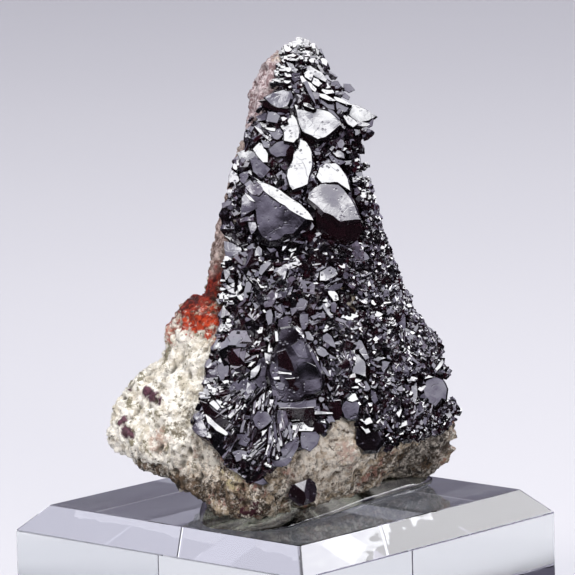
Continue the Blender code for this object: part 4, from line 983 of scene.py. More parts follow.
        (0, 43, ((-1.0, 10.0), (-0.8, 9.7), (-1.5, 8.3), (-1.7, 7.7), (-1.9, 8.5))),
        (0, 43, ((-0.1, 9.0), (0.3, 8.9), (-0.8, 7.8), (-1.5, 7.5), (-1.2, 8.1))),
        (0, 43, ((0.7, 8.4), (0.9, 8.1), (-0.0, 7.0), (-0.4, 6.6), (-0.3, 7.3))),
        (0, 43, ((-2.8, 7.8), (-2.5, 7.6), (-3.0, 6.7), (-3.1, 7.0))),
        (0, 43, ((-2.3, 7.3), (-2.0, 6.7), (-2.6, 6.5))),
        (-2, 43, ((-4.5, 7.7), (-3.7, 8.0), (-3.3, 7.9), (-4.0, 7.4))),
        (0, 41, ((-3.6, 9.3), (-2.9, 9.2), (-2.9, 8.8), (-3.4, 8.9))),
        (2, 43, ((0.8, 10.0), (1.6, 10.2), (2.5, 10.1), (3.2, 9.4), (4.0, 9.2), (3.8, 8.8), (2.1, 8.9),
            (1.2, 9.0))),
        (2, 42, ((0.7, 10.6), (1.9, 10.6), (2.2, 10.3), (1.1, 10.2))),
        (0, -20, ((-0.7, 12.0), (2.2, 11.9), (4.0, 12.0), (4.1, 10.3), (3.7, 9.4), (2.8, 9.8), (1.9, 10.5),
            (0.6, 10.6), (-0.5, 10.8))),
        (2, 18, ((2.3, 8.7), (4.1, 8.7), (4.8, 8.1), (4.3, 6.9), (3.4, 6.1), (2.3, 6.6), (2.1, 7.6))),
        (0, 43, ((-1.7, 5.7), (-1.0, 6.2), (-0.6, 5.3), (-1.3, 5.0))),
        (0, 15, ((-1.7, 5.0), (-0.6, 4.9), (0.7, 5.4), (1.0, 5.0), (0.2, 4.2), (-1.2, 4.1))),
        (2, 18, ((-0.6, 6.8), (0.8, 7.5), (1.6, 8.1), (1.8, 7.5), (0.7, 5.9), (-0.2, 5.4))),
        (0, 18, ((-3.0, 6.1), (-2.2, 5.9), (-1.9, 4.6), (-2.6, 4.0))),
        (-4, 24, ((-6.9, 6.2), (-5.9, 6.5), (-4.8, 6.2), (-5.1, 5.4), (-6.4, 4.9))),
        (-4, 17, ((-6.2, 8.6), (-5.0, 8.8), (-4.5, 7.8), (-5.1, 6.9), (-6.1, 7.3))),
        (-14, 36, ((-10.6, 14.9), (-9.9, 14.8), (-9.7, 14.0), (-10.3, 13.7))),
        (-8, 43, ((-8.0, 15.8), (-7.2, 15.9), (-6.7, 15.2), (-6.2, 14.8), (-7.0, 14.6))),
        (-10, 24, ((-6.9, 14.4), (-6.2, 14.7), (-6.0, 14.0), (-6.6, 13.6))),
        (-20, 17, ((-12.2, 9.6), (-11.3, 10.8), (-10.7, 10.6), (-10.3, 9.5), (-10.1, 8.5), (-10.7, 8.3),
            (-11.5, 8.8))),
        (-4, 43, ((-10.1, 9.0), (-9.5, 8.7), (-9.7, 8.2), (-10.3, 8.3))),
        (-4, 38, ((-5.6, 5.9), (-5.0, 5.7), (-5.1, 5.2), (-5.6, 5.4))),
        (2, 34, ((2.9, 13.8), (3.8, 13.4), (4.9, 14.3), (5.0, 13.6), (3.9, 13.1))),
        (2, 20, ((-1.4, 12.8), (0.2, 12.7), (2.2, 12.8), (4.3, 13.0), (4.3, 12.0), (2.2, 11.9),
            (-0.5, 12.1))),
    ),
}
CRUST_OUTLINE = (
    (0.7, 63.5), (0.8, 59.7), (0.0, 57.6), (-0.6, 55.2), (-1.6, 53.4), (-3.2, 51.6), (-4.6, 48.2), (-5.6, 45.0),
    (-6.7, 39.5), (-7.3, 32.8), (-7.9, 27.5), (-8.4, 22.2), (-9.9, 18.2), (-10.6, 15.4), (-11.6, 12.6),
    (-12.3, 9.5), (-9.4, 6.7), (-7.5, 3.9), (-3.6, 2.0), (-2.2, 1.8), (-1.8, 4.1), (-0.2, 4.2), (2.1, 6.0),
    (3.8, 6.4), (5.7, 9.2), (7.5, 10.0), (8.8, 9.9), (9.8, 7.1), (11.1, 5.9), (12.7, 5.8), (13.9, 6.5),
    (18.0, 7.5), (21.3, 8.5), (24.0, 12.0), (36.0, 15.0), (36.0, 64.0),
)
FROST_FROM = 57.4
FROSTED_ZONES = (
    ((1.2, 60.2), (2.8, 61.2), (4.3, 60.6), (5.3, 59.8), (5.0, 58.1), (4.0, 57.2), (2.8, 57.9), (2.1, 57.4),
     (2.6, 55.6), (1.8, 54.3), (-0.0, 53.8), (-1.6, 54.1), (-1.0, 56.2), (0.1, 58.5)),
    ((-8.8, 32.8), (-5.9, 32.2), (-6.1, 27.9), (-6.9, 22.2), (-9.6, 21.8), (-9.4, 28.0)),
    ((9.8, 46.2), (11.3, 45.9), (11.5, 39.5), (10.4, 39.5), (9.7, 42.2)),
    ((-11.5, 15.2), (-9.1, 16.0), (-8.1, 14.3), (-9.2, 13.3), (-11.0, 13.3)),
)
LEADING_FACES = list(PLATES.values())
for region in FACETS.values():
    LEADING_FACES += [(turned, tilted, FACET_BEVEL, outline) for turned, tilted, outline in region]


def seen_place(points):
    """Where the line of sight to each point crosses the plane y = 0: eye + (point - eye) × share."""
    share = -EYE[1] / (points[:, 1] - EYE[1])
    crossing = EYE + (points - EYE) * share[:, None]
    return np.stack([crossing[:, 0], crossing[:, 2] - BLOCK_TOP], axis=1) / MM


def inside_outline(places, outline):
    """Whether each place is inside: a ray to the right crosses the outline an odd number of times."""
    start = np.array(outline, float)
    end = np.roll(start, -1, axis=0)
    x, y = places[:, 0, None], places[:, 1, None]
    spans = (start[:, 1] > y) != (end[:, 1] > y)
    rise = np.where(end[:, 1] == start[:, 1], 1, end[:, 1] - start[:, 1])
    meets = start[:, 0] + (y - start[:, 1]) * (end[:, 0] - start[:, 0]) / rise
    return (spans & (x < meets)).sum(axis=1) % 2 == 1


def grown_outline(outline, margin):
    """An outline whose corners are pushed away from its middle by a margin in millimetres."""
    corners = np.array(outline, float)
    arms = corners - corners.mean(axis=0)
    return corners + arms / np.linalg.norm(arms, axis=1)[:, None] * margin


def well_inside(places, outline, margin):
    """Whether the four places a margin to the right, left, top and bottom of a place are all inside."""
    shifts = margin * np.array([(1, 0), (-1, 0), (0, 1), (0, -1)])
    return np.all([inside_outline(places + shift, outline) for shift in shifts], axis=0)


print(len(LEADING_FACES), "leading faces")

# %% [markdown]
# ### Where crystals grow
#
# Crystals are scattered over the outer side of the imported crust, evenly by area. Its inner side hugs
# the rock, so a point counts as outer when the rock is well behind it. The leading faces, which come
# later, are kept free: a place that is seen inside one of their outlines is dropped, and so is a place
# too near the border of the crust.

# %% Scattered places
OUTER_FROM = 0.6 * MM
middles = crust_corners[crust_triangles].mean(axis=1)
rock_data = nodes["matrix_rock"].data
solid_rock = BVHTree.FromPolygons([v.co for v in rock_data.vertices], [p.vertices[:] for p in rock_data.polygons])
behind = np.array([solid_rock.find_nearest(Vector(m))[3] for m in middles])
outer = crust_triangles[behind > OUTER_FROM]
outer_a, outer_b, outer_c = crust_corners[outer].transpose(1, 0, 2)
outer_area = np.linalg.norm(np.cross(outer_b - outer_a, outer_c - outer_a), axis=1)


def scattered(count, margin, border, everywhere=False):
    """Random places on the crust's outer side, even by area, clear of leading faces, border and frost."""
    pick = random.choice(len(outer), count, p=outer_area / outer_area.sum())
    u, v = random.random((2, count, 1))
    fold = u + v > 1
    u, v = np.where(fold, 1 - u, u), np.where(fold, 1 - v, v)
    places = outer_a[pick] + u * (outer_b - outer_a)[pick] + v * (outer_c - outer_a)[pick]
    normals = crust_normals[outer[pick]].mean(axis=1)
    seen = seen_place(places)
    taken = np.zeros(count, bool)
    for _, _, bevel, outline in LEADING_FACES:
        taken |= inside_outline(seen, grown_outline(outline, margin + bevel))
    taken |= ~well_inside(seen, CRUST_OUTLINE, border)
    if not everywhere:
        taken |= seen[:, 1] > FROST_FROM
        for zone in FROSTED_ZONES:
            taken |= inside_outline(seen, grown_outline(zone, margin))
    return places[~taken], normals[~taken] / np.linalg.norm(normals[~taken], axis=1)[:, None]


print("outer crust:", round(float(outer_area.sum() / 2e-6)), "mm2")

# %% [markdown]
# ### Three sizes of crystal
#
# On the left and in the middle the crystals are a few millimetres wide, with smaller ones wedged
# between them; over the right flank they shrink to a sparkling crust of grains under a millimetre.
# Each size is one mesh. Sizes fall to the right by a ramp of the place across, and every crystal is
# stretched unevenly, some into flat tablets and some into laths. The finest crystals also fill the
# frosted zones, where they all lean back towards the light from above.

# %% Crystals of three sizes
CUT_CORNERS = 24
PLAIN_CORNERS = 16


def to_the_right(places):
    """0 on the left, 1 on the fine-grained right flank, by a straight ramp between 4 and 12 mm across."""
    return np.clip((seen_place(places)[:, 0] - 4) / 8, 0, 1)


def stretched(sizes, lath_share, flat):
    """Sizes along the three axes: broad and flattened by a factor, or for some drawn out into laths."""
    stretch = random.uniform(0.75, 1.2, (len(sizes), 3)) * (1, 0.85, flat)
    stretch[random.random(len(sizes)) < lath_share] *= (1.6, 0.5, 0.9)
    return sizes[:, None] * stretch


def crystal_tones(corner_count, group):
    """How red the bodies are: one number for each group of corners, mostly low with a few high."""
    return np.repeat(random.random(corner_count // group + 1) ** 3, group)[:corner_count]


def add_crystals(name, forms, places, rotations, sizes, group):
    """One piece of many crystals of the given forms, toned in groups of about one crystal's corners."""
    corners, triangles = placed_forms(forms, places, rotations, sizes)
    tone = crystal_tones(len(corners), group)
    add_piece(name, corners, triangles, druse_cuprite, "cuprite_crystals", tone=tone)


def thinned_out(places, normals, spacing):
    """Drops each place that lies nearer than its spacing to one kept before it."""
    kept = []
    for i, place in enumerate(places):
        if not kept or np.min(np.linalg.norm(places[kept] - place, axis=1)) > spacing[i]:
            kept.append(i)
    return places[kept], normals[kept]


def with_steps(places, rotations, sizes, shift):
    """Each crystal with a smaller one of the same turn grown on its top, shifted sideways at random."""
    sideways = random.uniform(-shift, shift, (len(places), 2))
    move = np.concatenate([sideways, np.full((len(places), 1), 0.2)], axis=1)
    upper = places + np.einsum("nij,nj->ni", rotations, move * sizes)
    return (
        np.concatenate([places, upper]), np.concatenate([rotations, rotations]), np.concatenate([sizes, 0.66 * sizes])
    )


places, normals = scattered(2600, margin=1.15, border=1.6)
places, normals = thinned_out(places, normals, (1.8 - 0.9 * to_the_right(places)) * MM)
sizes = (2.3 + 1.6 * random.random(len(places)) ** 2) * (1 - 0.52 * to_the_right(places)) * MM
rotations = grown_in_step(places, normals, patch_size=5.0, loose=0.35, tip=0.36)
places = places - normals * 0.12 * sizes[:, None]
sizes = stretched(sizes, lath_share=0.25, flat=0.8)
places, rotations, sizes = with_steps(places, rotations, sizes, shift=0.3)
add_crystals("medium_crystals", FORMS, places, rotations, sizes, CUT_CORNERS)

places, normals = scattered(5200, margin=0.55, border=0.9)
sizes = (1.0 + 0.8 * random.random(len(places)) ** 2) * (1 - 0.35 * to_the_right(places)) * MM
rotations = grown_in_step(places, normals, patch_size=3.0, loose=0.4, tip=0.5)
places = places + normals * 0.05 * sizes[:, None]
sizes = stretched(sizes, lath_share=0.35, flat=0.8)
add_crystals("small_crystals", PLAIN_FORMS, places, rotations, sizes, PLAIN_CORNERS)

places, normals = scattered(15000, margin=0.22, border=0.3, everywhere=True)
frosted = np.any([inside_outline(seen_place(places), zone) for zone in FROSTED_ZONES], axis=0)
keep = (random.random(len(places)) < 0.2 + 0.6 * to_the_right(places)) | frosted
places, normals, frosted = places[keep], normals[keep], frosted[keep]
sizes = (0.40 + 0.45 * random.random(len(places))) * MM
rotations = grown_in_step(places, normals, patch_size=2.0, loose=0.5, tip=0.6)
leaning_back = random.normal((0, 42), (10, 6), (frosted.sum(), 2))
rotations[frosted] = np.stack([facing(*angles) for angles in leaning_back])
places = places + normals * 0.55 * sizes[:, None]
sizes = stretched(sizes, lath_share=0.3, flat=0.8)
add_crystals("fine_crystals", PLAIN_FORMS, places, rotations, sizes, PLAIN_CORNERS)

# %% [markdown]
# ### Laths
#
# Much of the crust is made of crystals drawn out into thin laths that lie side by side, like the ribs
# of a fan. One long edge of each points outwards, so that the face above the edge flashes and the one
# below it stays dark, and the crust looks finely streaked. Which way the laths run changes slowly over
# the crust: level on the right flank, and steeply up to the right at the lower left.

# %% Laths
LATH_EDGE_OUT = math.radians(30)
LATH_SPIN_SPREAD = 0.16
LATH_ROLL_SPREAD = 0.22
LATH_SHARE = 0.24
LOW_LEFT = ((-12, 14), (-6, 15), (4, 12), (4, 5), (-3, 1), (-12, 8))


def lath_direction(places):
    """The angle of the laths from level: a ramp to 60 degrees at the lower left plus slow noise."""
    seen = seen_place(places)
    low_left = np.clip((15 - seen[:, 1]) / 5, 0, 1) * np.clip((6 - seen[:, 0]) / 4, 0, 1)
    return np.radians(12 + 48 * low_left + 105 * noise(places, 4.5, 41) * (1 - 0.6 * low_left))


def about_axis(axis, angles):
    """Turns by the given angles about the first (0) or third (2) axis."""
    quaternions = np.zeros((len(angles), 4))
    quaternions[:, 0], quaternions[:, axis + 1] = np.cos(angles / 2), np.sin(angles / 2)
    return turns(quaternions)


places, normals = scattered(9000, margin=0.35, border=1.1)
low_left = inside_outline(seen_place(places), LOW_LEFT)
keep = (random.random(len(places)) < LATH_SHARE) | low_left
places, normals, low_left = places[keep], normals[keep], low_left[keep]
count = len(places)
spin = about_axis(2, lath_direction(places) + random.normal(0, LATH_SPIN_SPREAD, count))
roll = about_axis(0, -LATH_EDGE_OUT + random.normal(0, LATH_ROLL_SPREAD, count))
width = (0.26 + 0.26 * random.random(count)) * (1 - 0.35 * to_the_right(places)) * MM
length = (1.2 + 2.4 * random.random(count) ** 2) * (1 - 0.4 * to_the_right(places)) * MM
sizes = np.stack([length, width, 1.2 * width], axis=1)
lift = np.where(low_left, 0.75, 0.55) * random.uniform(0.4, 1.2, count) * MM
places = places + normals * lift[:, None]
add_crystals("lath_crystals", PLAIN_FORMS, places, standing_on(normals) @ spin @ roll, sizes, PLAIN_CORNERS)

# %% [markdown]
# ### The main crystals
#
# About twenty crystals are large enough to be known one by one, and some two hundred more show one
# clear face. The tables above say which way each face looks and where its corners are seen. A face's
# outline is made by running the lines of sight into the plane of the face, which lies just clear of
# the crust and of any face that it grows on. The body is then a profile carried round that outline:
# the edge, a bevel, and the side that sinks into the crust. The sides of the outline are broken into
# short lengths with slight kinks, because a real edge is never quite straight. Faces that look down
# get a redder body: a maroon painted into their shade.

# %% Plate bodies
CLEAR_OF_CRUST = 0.12 * MM
DRAWN_IN = 0.8
SUNK_SIDE = 2.6
SIDE_STEPS = 2
KINK = 0.03
DOWNWARD_PAINTED_MAROON = 0.4


def kinked(outline, steps, kink):
    """The outline with steps points on each side, each moved at random by up to about the kink."""
    start = np.array(outline, float)
    end = np.roll(start, -1, axis=0)
    share = np.arange(steps)[None, :, None] / steps
    path = (start[:, None] * (1 - share) + end[:, None] * share).reshape(-1, 2)
    return path + random.normal(0, kink, path.shape)


def ringed_body(rings):
    """A closed skin over a stack of rings, front to back, each run left about the way out; fans close the ends."""
    count, around = rings.shape[:2]
    here = np.arange(around)
    after = np.roll(here, -1)
    row = np.arange(count - 1)[:, None] * around
    near, near_after, far, far_after = (row + here, row + after, row + around + here, row + around + after)
    walls = np.concatenate([np.stack([near, far, far_after], -1), np.stack([near, far_after, near_after], -1)])
    first, last = count * around, count * around + 1
    front = np.stack([np.full(around, first), here, after], -1)
    back = np.stack([np.full(around, last), (count - 1) * around + after, (count - 1) * around + here], -1)
    corners = np.concatenate([rings.reshape(-1, 3), rings[:1].mean(axis=1), rings[-1:].mean(axis=1)])
    return corners, np.concatenate([walls.reshape(-1, 3), front, back])


crust_tree = BVHTree.FromPolygons(
    np.concatenate([crust_corners, rock_corners]).tolist(),
    np.concatenate([crust_triangles, rock_triangles + len(crust_corners)]).tolist(),
)
placed_faces = []


def face_plane(outline, lead):
    """A point of the plane across lead that clears what lies behind the outline drawn in by a fifth."""
    middle = np.mean(outline, axis=0)
    inner = np.concatenate([middle + DRAWN_IN * (np.array(outline) - middle), middle[None]])
    sights = lines_of_sight(inner)
    hits = []
    for sight in sights:
        hit = crust_tree.ray_cast(Vector(EYE), Vector(sight))[0]
        if hit is None:
            hit = crust_tree.find_nearest(Vector(EYE + sight))[0]
        hits.append(np.array(hit))
    for other_outline, other_front, other_lead in placed_faces:
        if inside_outline(middle[None], other_outline)[0]:
            share = ((other_front - EYE) @ other_lead) / (sights @ other_lead)
            hits += list(EYE + sights * share[:, None])
    hits = np.array(hits)
    return hits[-1] + lead * (((hits - hits[-1]) @ lead).max() + CLEAR_OF_CRUST)


def plate_body(row):
    """Rings of a plate: outline + away × (how far out) - lead × (how far in) + sight × (how far back)."""
    turned, tilted, bevel, outline = row
    axes = facing(turned, tilted)
    lead = axes[:, 2]
    front = face_plane(outline, lead)
    placed_faces.append((outline, front, lead))
    sight = lines_of_sight(kinked(outline, SIDE_STEPS, KINK))
    ring = EYE + sight * (((front - EYE) @ lead) / (sight @ lead))[:, None]
    sight /= np.linalg.norm(sight, axis=1)[:, None]
    x, y = ((ring - front) @ axes[:, :2]).T
    if np.sum(x * np.roll(y, -1) - y * np.roll(x, -1)) < 0:
        ring, sight = ring[::-1], sight[::-1]
    away = ring - ring.mean(axis=0)
    away /= np.linalg.norm(away, axis=1)[:, None]
    profile = ((0, 0, 0), (bevel * 0.8, bevel, 0), (bevel, bevel, 0.4), (0.0, bevel, bevel + SUNK_SIDE))
    return ringed_body(
        np.array([ring + (away * out - lead * inward + sight * back) * MM for out, inward, back in profile])
    )


def joined(bodies):
    """Several closed skins in one pair of arrays."""
    counts = np.cumsum([0] + [len(c) for c, _ in bodies])
    corners = np.concatenate([c for c, _ in bodies])
    return corners, np.concatenate([t + n for (_, t), n in zip(bodies, counts)])


bodies = [plate_body(row) for row in LEADING_FACES]
corners, triangles = joined(bodies)
# Faces that look down get maroon painted into their shade; the others a small random redness.
looks_down = [row[1] < 0 for row in LEADING_FACES]
redness = np.where(looks_down, DOWNWARD_PAINTED_MAROON, 0.3 * random.random(len(LEADING_FACES)) ** 3)
tone = np.concatenate([np.full(len(c), red) for (c, _), red in zip(bodies, redness)])
add_piece("main_crystals", corners, triangles, face_cuprite, "cuprite_crystals", tone=tone)

# %% [markdown]
# ### The lone crystal
#
# One crystal sits by itself on the bare rock, low at the front. It is a cube with cut corners. Its
# form is turned so that one of the cuts looks up and forward, where it catches the light.

# %% Lone crystal
LONE_STRETCH = np.array([1.15, 0.8, 1.0])
LONE_FACE = (6, 43)
LONE_SPIN = 0.16
LONE_TONE = 0.3
LONE_CUTS = (0.62, 0.7, 0.66, 0.6, 0.7, 0.64, 0.6, 0.68)
low, high = (np.array(c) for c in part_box("lone_cuprite_crystal"))
form_corners, form_triangles = crystal_form(
    np.concatenate([CUBE_NORMALS, OCTAHEDRON_NORMALS]), np.array([0.5] * 6 + list(LONE_CUTS))
)
cut = np.ones(3) / math.sqrt(3)
cut_up = np.array([-1, -1, 2]) / math.sqrt(6)
cut_forward = np.stack([np.cross(cut_up, cut), cut_up, cut])
lone_turn = facing(*LONE_FACE) @ turns(np.array([[1.0, 0.0, 0.0, LONE_SPIN]]))[0] @ cut_forward
lone_size = (high - low).min() * LONE_STRETCH
lone_corners = (low + high) / 2 + (form_corners * lone_size) @ lone_turn.T
add_piece(
    "lone_crystal", lone_corners, form_triangles, face_cuprite, "lone_cuprite_crystal",
    tone=np.full(len(lone_corners), LONE_TONE),
)

# %% [markdown]
# ## The resin
#
# The specimen is stuck down with clear resin that ran out in a thin puddle. Its surface is drawn up
# by surface tension: round at the rim and nearly flat inside. One parameter of the shape runs round
# the outline, a closed smooth curve through given points, and the other, s, from the middle to the
# rim, where the height falls off as (1 - s to the sixth) to the power 0.55. The puddle is thinner on
# the left, and a slow noise keeps it from being quite even.

# %% Resin
RESIN_OUTLINE = np.array([
    (-10.5, -18), (-7, -21), (-4, -22), (0, -20.6), (3, -16.6), (6.4, -12), (10.2, -6), (14.6, 0.6),
    (18.4, 5.4), (19.8, 10), (17, 14), (7, 14), (-3, 13.5), (-9.6, 4), (-11.2, -7),
])
RESIN_MIDDLE = np.array([3.5, -3.0])
RESIN_HEIGHT = 1.35
RESIN_LEFT_SHARE = 0.28
RESIN_WAVE = 0.12
RESIN_FLOOR = 0.06
RESIN_IOR = 1.5


def closed_curve(points, steps):
    """Smooth closed curve through the points: each stretch is the cubic with slopes (next - last) / 2."""
    last, here, after, later = (np.roll(points, k, axis=0)[:, None] for k in (1, 0, -1, -2))
    t = np.linspace(0, 1, steps, endpoint=False)[None, :, None]
    blend = 2 * here + (after - last) * t + (2 * last - 5 * here + 4 * after - later) * t ** 2
    return ((blend + (3 * here - last - 3 * after + later) * t ** 3) / 2).reshape(-1, points.shape[1])


rim = closed_curve(RESIN_OUTLINE, 10)
share = np.sin(np.linspace(0, np.pi / 2, 18))[1:]
flat = RESIN_MIDDLE + (rim - RESIN_MIDDLE)[None] * share[:, None, None]
height = RESIN_HEIGHT * (1 - share ** 6) ** 0.55
level = np.concatenate([flat, np.zeros((*flat.shape[:2], 1))], axis=2)
wave = RESIN_WAVE * noise(level.reshape(-1, 3) * MM, 6.0, 31)
thick = RESIN_LEFT_SHARE + (1 - RESIN_LEFT_SHARE) * np.clip((flat[..., 0] + 4) / 9, 0, 1)
level[..., 2] = height[:, None] * thick * (1 + wave.reshape(flat.shape[:2])) + RESIN_FLOOR
resin_corners, resin_triangles = ringed_body(level * MM + (0, 0, BLOCK_TOP))


def make_clear(name, colour, ior, roughness, ripple_size, strength, distance):
    """A clear material: light passes through, bent by the index, and a broad soft bump ripples the surface."""
    material, tree, shader, place = new_material(name)
    shader.inputs["Base Color"].default_value = linear(colour)
    shader.inputs["Roughness"].default_value = roughness
    shader.inputs["IOR"].default_value = ior
    shader.inputs["Transmission Weight"].default_value = 1.0
    ripple = add_node(tree, "ShaderNodeTexNoise", {"Vector": place, "Scale": per_mm(ripple_size), "Detail": 2.0})
    raised = {"Height": ripple.outputs["Fac"], "Strength": strength, "Distance": distance * MM}
    bump = add_node(tree, "ShaderNodeBump", raised)
    tree.links.new(bump.outputs[0], shader.inputs["Normal"])
    return material


resin = make_clear(
    "clear_cast_resin", "#f1f1d6", RESIN_IOR, roughness=0.02, ripple_size=2.5, strength=0.25, distance=0.2
)
add_piece("resin_puddle", resin_corners, resin_triangles, resin, "mounting_resin", smooth=True)

# %% [markdown]
# ## The acrylic block
#
# The block is cut from cast acrylic, its top edges milled to a wide chamfer and every face polished.
# The chamfers act as prisms and carry the brightest reflections. Its shape is again a profile carried
# along a path: the path is a square with corners rounded by a hair, and the profile climbs the side,
# turns over a fine polished edge onto the chamfer and over another onto the top.

# %% Block
BLOCK_SIDE = 50.8
BLOCK_CHAMFER = 3.2
BLOCK_TURN = math.radians(48.0)
POLISHED_EDGE = 0.18
CORNER_ROUND = 0.35
CORNER_STEPS = 5
ACRYLIC_IOR = 1.49


def rounded_square(half, radius, steps):
    """A square of the given half side with its corners rounded: quarter circles at four corner centres."""
    quarter = np.arange(4)[:, None]
    angle = (quarter + np.linspace(0, 1, steps)[None]) * np.pi / 2
    diagonal = (quarter + 0.5) * np.pi / 2
    centre = np.sign(np.stack([np.cos(diagonal), np.sin(diagonal)], -1)) * (half - radius)
    return (centre + radius * np.stack([np.cos(angle), np.sin(angle)], -1)).reshape(-1, 2)


top = BLOCK_TOP / MM
edge = POLISHED_EDGE
block_profile = (
    (top, BLOCK_CHAMFER + edge), (top - edge * 0.3, BLOCK_CHAMFER), (top - BLOCK_CHAMFER, edge * 0.3),
    (top - BLOCK_CHAMFER - edge, 0.0), (edge, 0.0), (0.0, edge),
)
cosine, sine = math.cos(BLOCK_TURN), math.sin(BLOCK_TURN)
turn = np.array([[cosine, sine], [-sine, cosine]])
rings = []
for z, inset in block_profile:
    square = rounded_square(BLOCK_SIDE / 2 - inset, CORNER_ROUND, CORNER_STEPS) @ turn
    rings.append(np.concatenate([square, np.full((len(square), 1), z)], axis=1))
block_corners, block_triangles = ringed_body(np.array(rings) * MM)
acrylic = make_clear(
    "polished_cast_acrylic", "#f7fafa", ACRYLIC_IOR, roughness=0.0, ripple_size=9.0, strength=0.06, distance=0.4
)
add_piece("clear_block", block_corners, block_triangles, acrylic, "acrylic_block")

# %% [markdown]
# ## Floor
#
# The studio is a wide pale floor that runs on far behind the specimen. The crystals do not mirror
# it, which keeps their lower faces dark.

# %% Floor
FLOOR_RADIUS = 4.0
FLOOR_SIDES = 96
FLOOR_DROP = 0.0001
around = np.linspace(0, 2 * np.pi, FLOOR_SIDES, endpoint=False)
floor_corners = np.stack(
    [FLOOR_RADIUS * np.cos(around), FLOOR_RADIUS * np.sin(around), np.full(FLOOR_SIDES, -FLOOR_DROP)], axis=1
)
floor_mesh = bpy.data.meshes.new("pale_floor")
floor_mesh.from_pydata(floor_corners.tolist(), [], [list(range(FLOOR_SIDES))])
floor = bpy.data.objects.new("pale_floor", floor_mesh)
bpy.context.scene.collection.objects.link(floor)
floor_material, tree, shader, place = new_material("pale_matt_floor")
paper = add_node(tree, "ShaderNodeTexNoise", {"Vector": place, "Scale": 3.0})
tree.links.new(mixed(tree, "#bebec2", "#c3c3c6", paper.outputs["Fac"]), shader.inputs["Base Color"])
shader.inputs["Roughness"].default_value = 0.8
floor_mesh.materials.append(floor_material)
floor.visible_glossy = False
print("floor", 2 * FLOOR_RADIUS, "m across")

# %% [markdown]
# ## Lamps
#
# Three soft lamps light the specimen: a broad one overhead, a warmer one at the upper left for the
# rock, and a weak fill near the camera. They are hidden from mirrored light and from light that has
# passed through the block, so that none shows as a hard square; the sky shows soft glows instead.

# %% Lamps
LAMP_TARGET = Vector((0, 0, 0.045))
LAMPS = (
    ("overhead_softbox", 5, 77, 0.9, 0.55, 9.0, "#fbfcff"),
    ("upper_left_softbox", -48, 38, 1.1, 0.30, 4.2, "#fff6ea"),
    ("front_fill", 16, 12, 1.2, 0.30, 6.0, "#fff8f0"),
)
for name, turned, raised, distance, size, power, colour in LAMPS:
    out = Vector(out_direction(turned, raised))
    lamp = bpy.data.lights.new(name, "AREA")
    lamp.size, lamp.energy, lamp.color = size, power, linear(colour)[:3]
    holder = bpy.data.objects.new(name, lamp)
    aim = out.to_track_quat("Z", "Y").to_matrix().to_4x4()
    holder.matrix_world = Matrix.Translation(out * distance + LAMP_TARGET) @ aim
    holder.visible_glossy = holder.visible_transmission = False
    bpy.context.scene.collection.objects.link(holder)
print(len(LAMPS), "lamps")

# %% [markdown]
# ## Sky
#
# Mirror-like crystals show whatever stands round them, so the sky decides how they look. It runs from
# a dark horizon, which keeps upright faces dark, over a cool grey to nearly white overhead, with three
# soft round glows in it. How strong it is depends on the ray that meets it: strong where it is
# mirrored, weaker where it lights the scene, and in between where it is seen through the block. A ray
# that leaves the inside of the block downwards meets a pale ground instead of the dark half below
# the horizon.

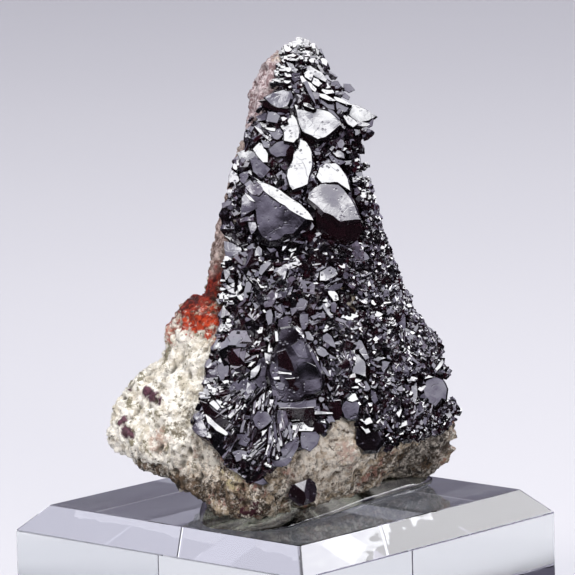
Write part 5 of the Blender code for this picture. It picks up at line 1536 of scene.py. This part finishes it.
# %% Sky
SKY = ((0.0, "#0d0b0f"), (0.16, "#3d3946"), (0.4, "#9f99b1"), (0.7, "#e1dff0"), (1.0, "#f5f5fc"))
SOFT_SKY = 0.55
MIRRORED_SKY = 2.7
SKY_THROUGH_GLASS = 0.9
GROUND_IN_GLASS = 0.8
GLOWS = ((5, 77, 26, 10, 1.5), (-48, 38, 16, 6, 1.5), (123, 38, 20, 5, 2.6))
world = bpy.data.worlds.new("studio")
world.use_nodes = True
tree = world.node_tree
background = tree.nodes["Background"]
direction = add_node(tree, "ShaderNodeTexCoord").outputs["Generated"]
up = add_node(tree, "ShaderNodeSeparateXYZ", {0: direction}).outputs["Z"]
ramp = add_node(tree, "ShaderNodeValToRGB", {0: up})
while len(ramp.color_ramp.elements) < len(SKY):
    ramp.color_ramp.elements.new(0.5)
for element, (position, shade) in zip(ramp.color_ramp.elements, SKY):
    element.position = position
    element.color = linear(shade)


def glow(turned, raised, outer, inner, strength):
    """A round glow in the sky: full inside one angle, gone outside another, all in degrees."""
    towards = {0: direction, 1: out_direction(turned, raised).tolist()}
    along = add_node(tree, "ShaderNodeVectorMath", towards, operation="DOT_PRODUCT").outputs["Value"]
    edge = {"Value": along, 1: math.cos(math.radians(outer)), 2: math.cos(math.radians(inner)), 3: 0.0, 4: strength}
    return add_node(tree, "ShaderNodeMapRange", edge, interpolation_type="SMOOTHSTEP").outputs[0]


light = ramp.outputs[0]
for row in GLOWS:
    light = add_node(tree, "ShaderNodeVectorMath", {0: light, 1: glow(*row)}, operation="ADD").outputs[0]
ray = add_node(tree, "ShaderNodeLightPath").outputs
mirrored = {"Value": ray["Is Glossy Ray"], 3: SOFT_SKY, 4: MIRRORED_SKY}
strength = add_node(tree, "ShaderNodeMapRange", mirrored).outputs[0]
through = {"Value": ray["Is Transmission Ray"], 3: strength, 4: SKY_THROUGH_GLASS}
strength = add_node(tree, "ShaderNodeMapRange", through).outputs[0]
tree.links.new(light, background.inputs["Color"])
tree.links.new(strength, background.inputs["Strength"])
entered = add_node(tree, "ShaderNodeMapRange", {"Value": ray["Transmission Depth"], 1: 0.4, 2: 0.6}).outputs[0]
below = add_node(tree, "ShaderNodeMapRange", {"Value": up, 1: 0.01, 2: -0.01}).outputs[0]
from_inside = add_node(tree, "ShaderNodeMath", {0: entered, 1: below}, operation="MULTIPLY").outputs[0]
ground = add_node(tree, "ShaderNodeBackground", {"Color": linear("#b9babf"), "Strength": GROUND_IN_GLASS})
both = add_node(tree, "ShaderNodeMixShader", {0: from_inside, 1: background.outputs[0], 2: ground.outputs[0]})
tree.links.new(both.outputs[0], tree.nodes["World Output"].inputs["Surface"])
bpy.context.scene.world = world
bpy.context.scene.view_settings.view_transform = "Standard"
print("sky with", len(GLOWS), "glows")
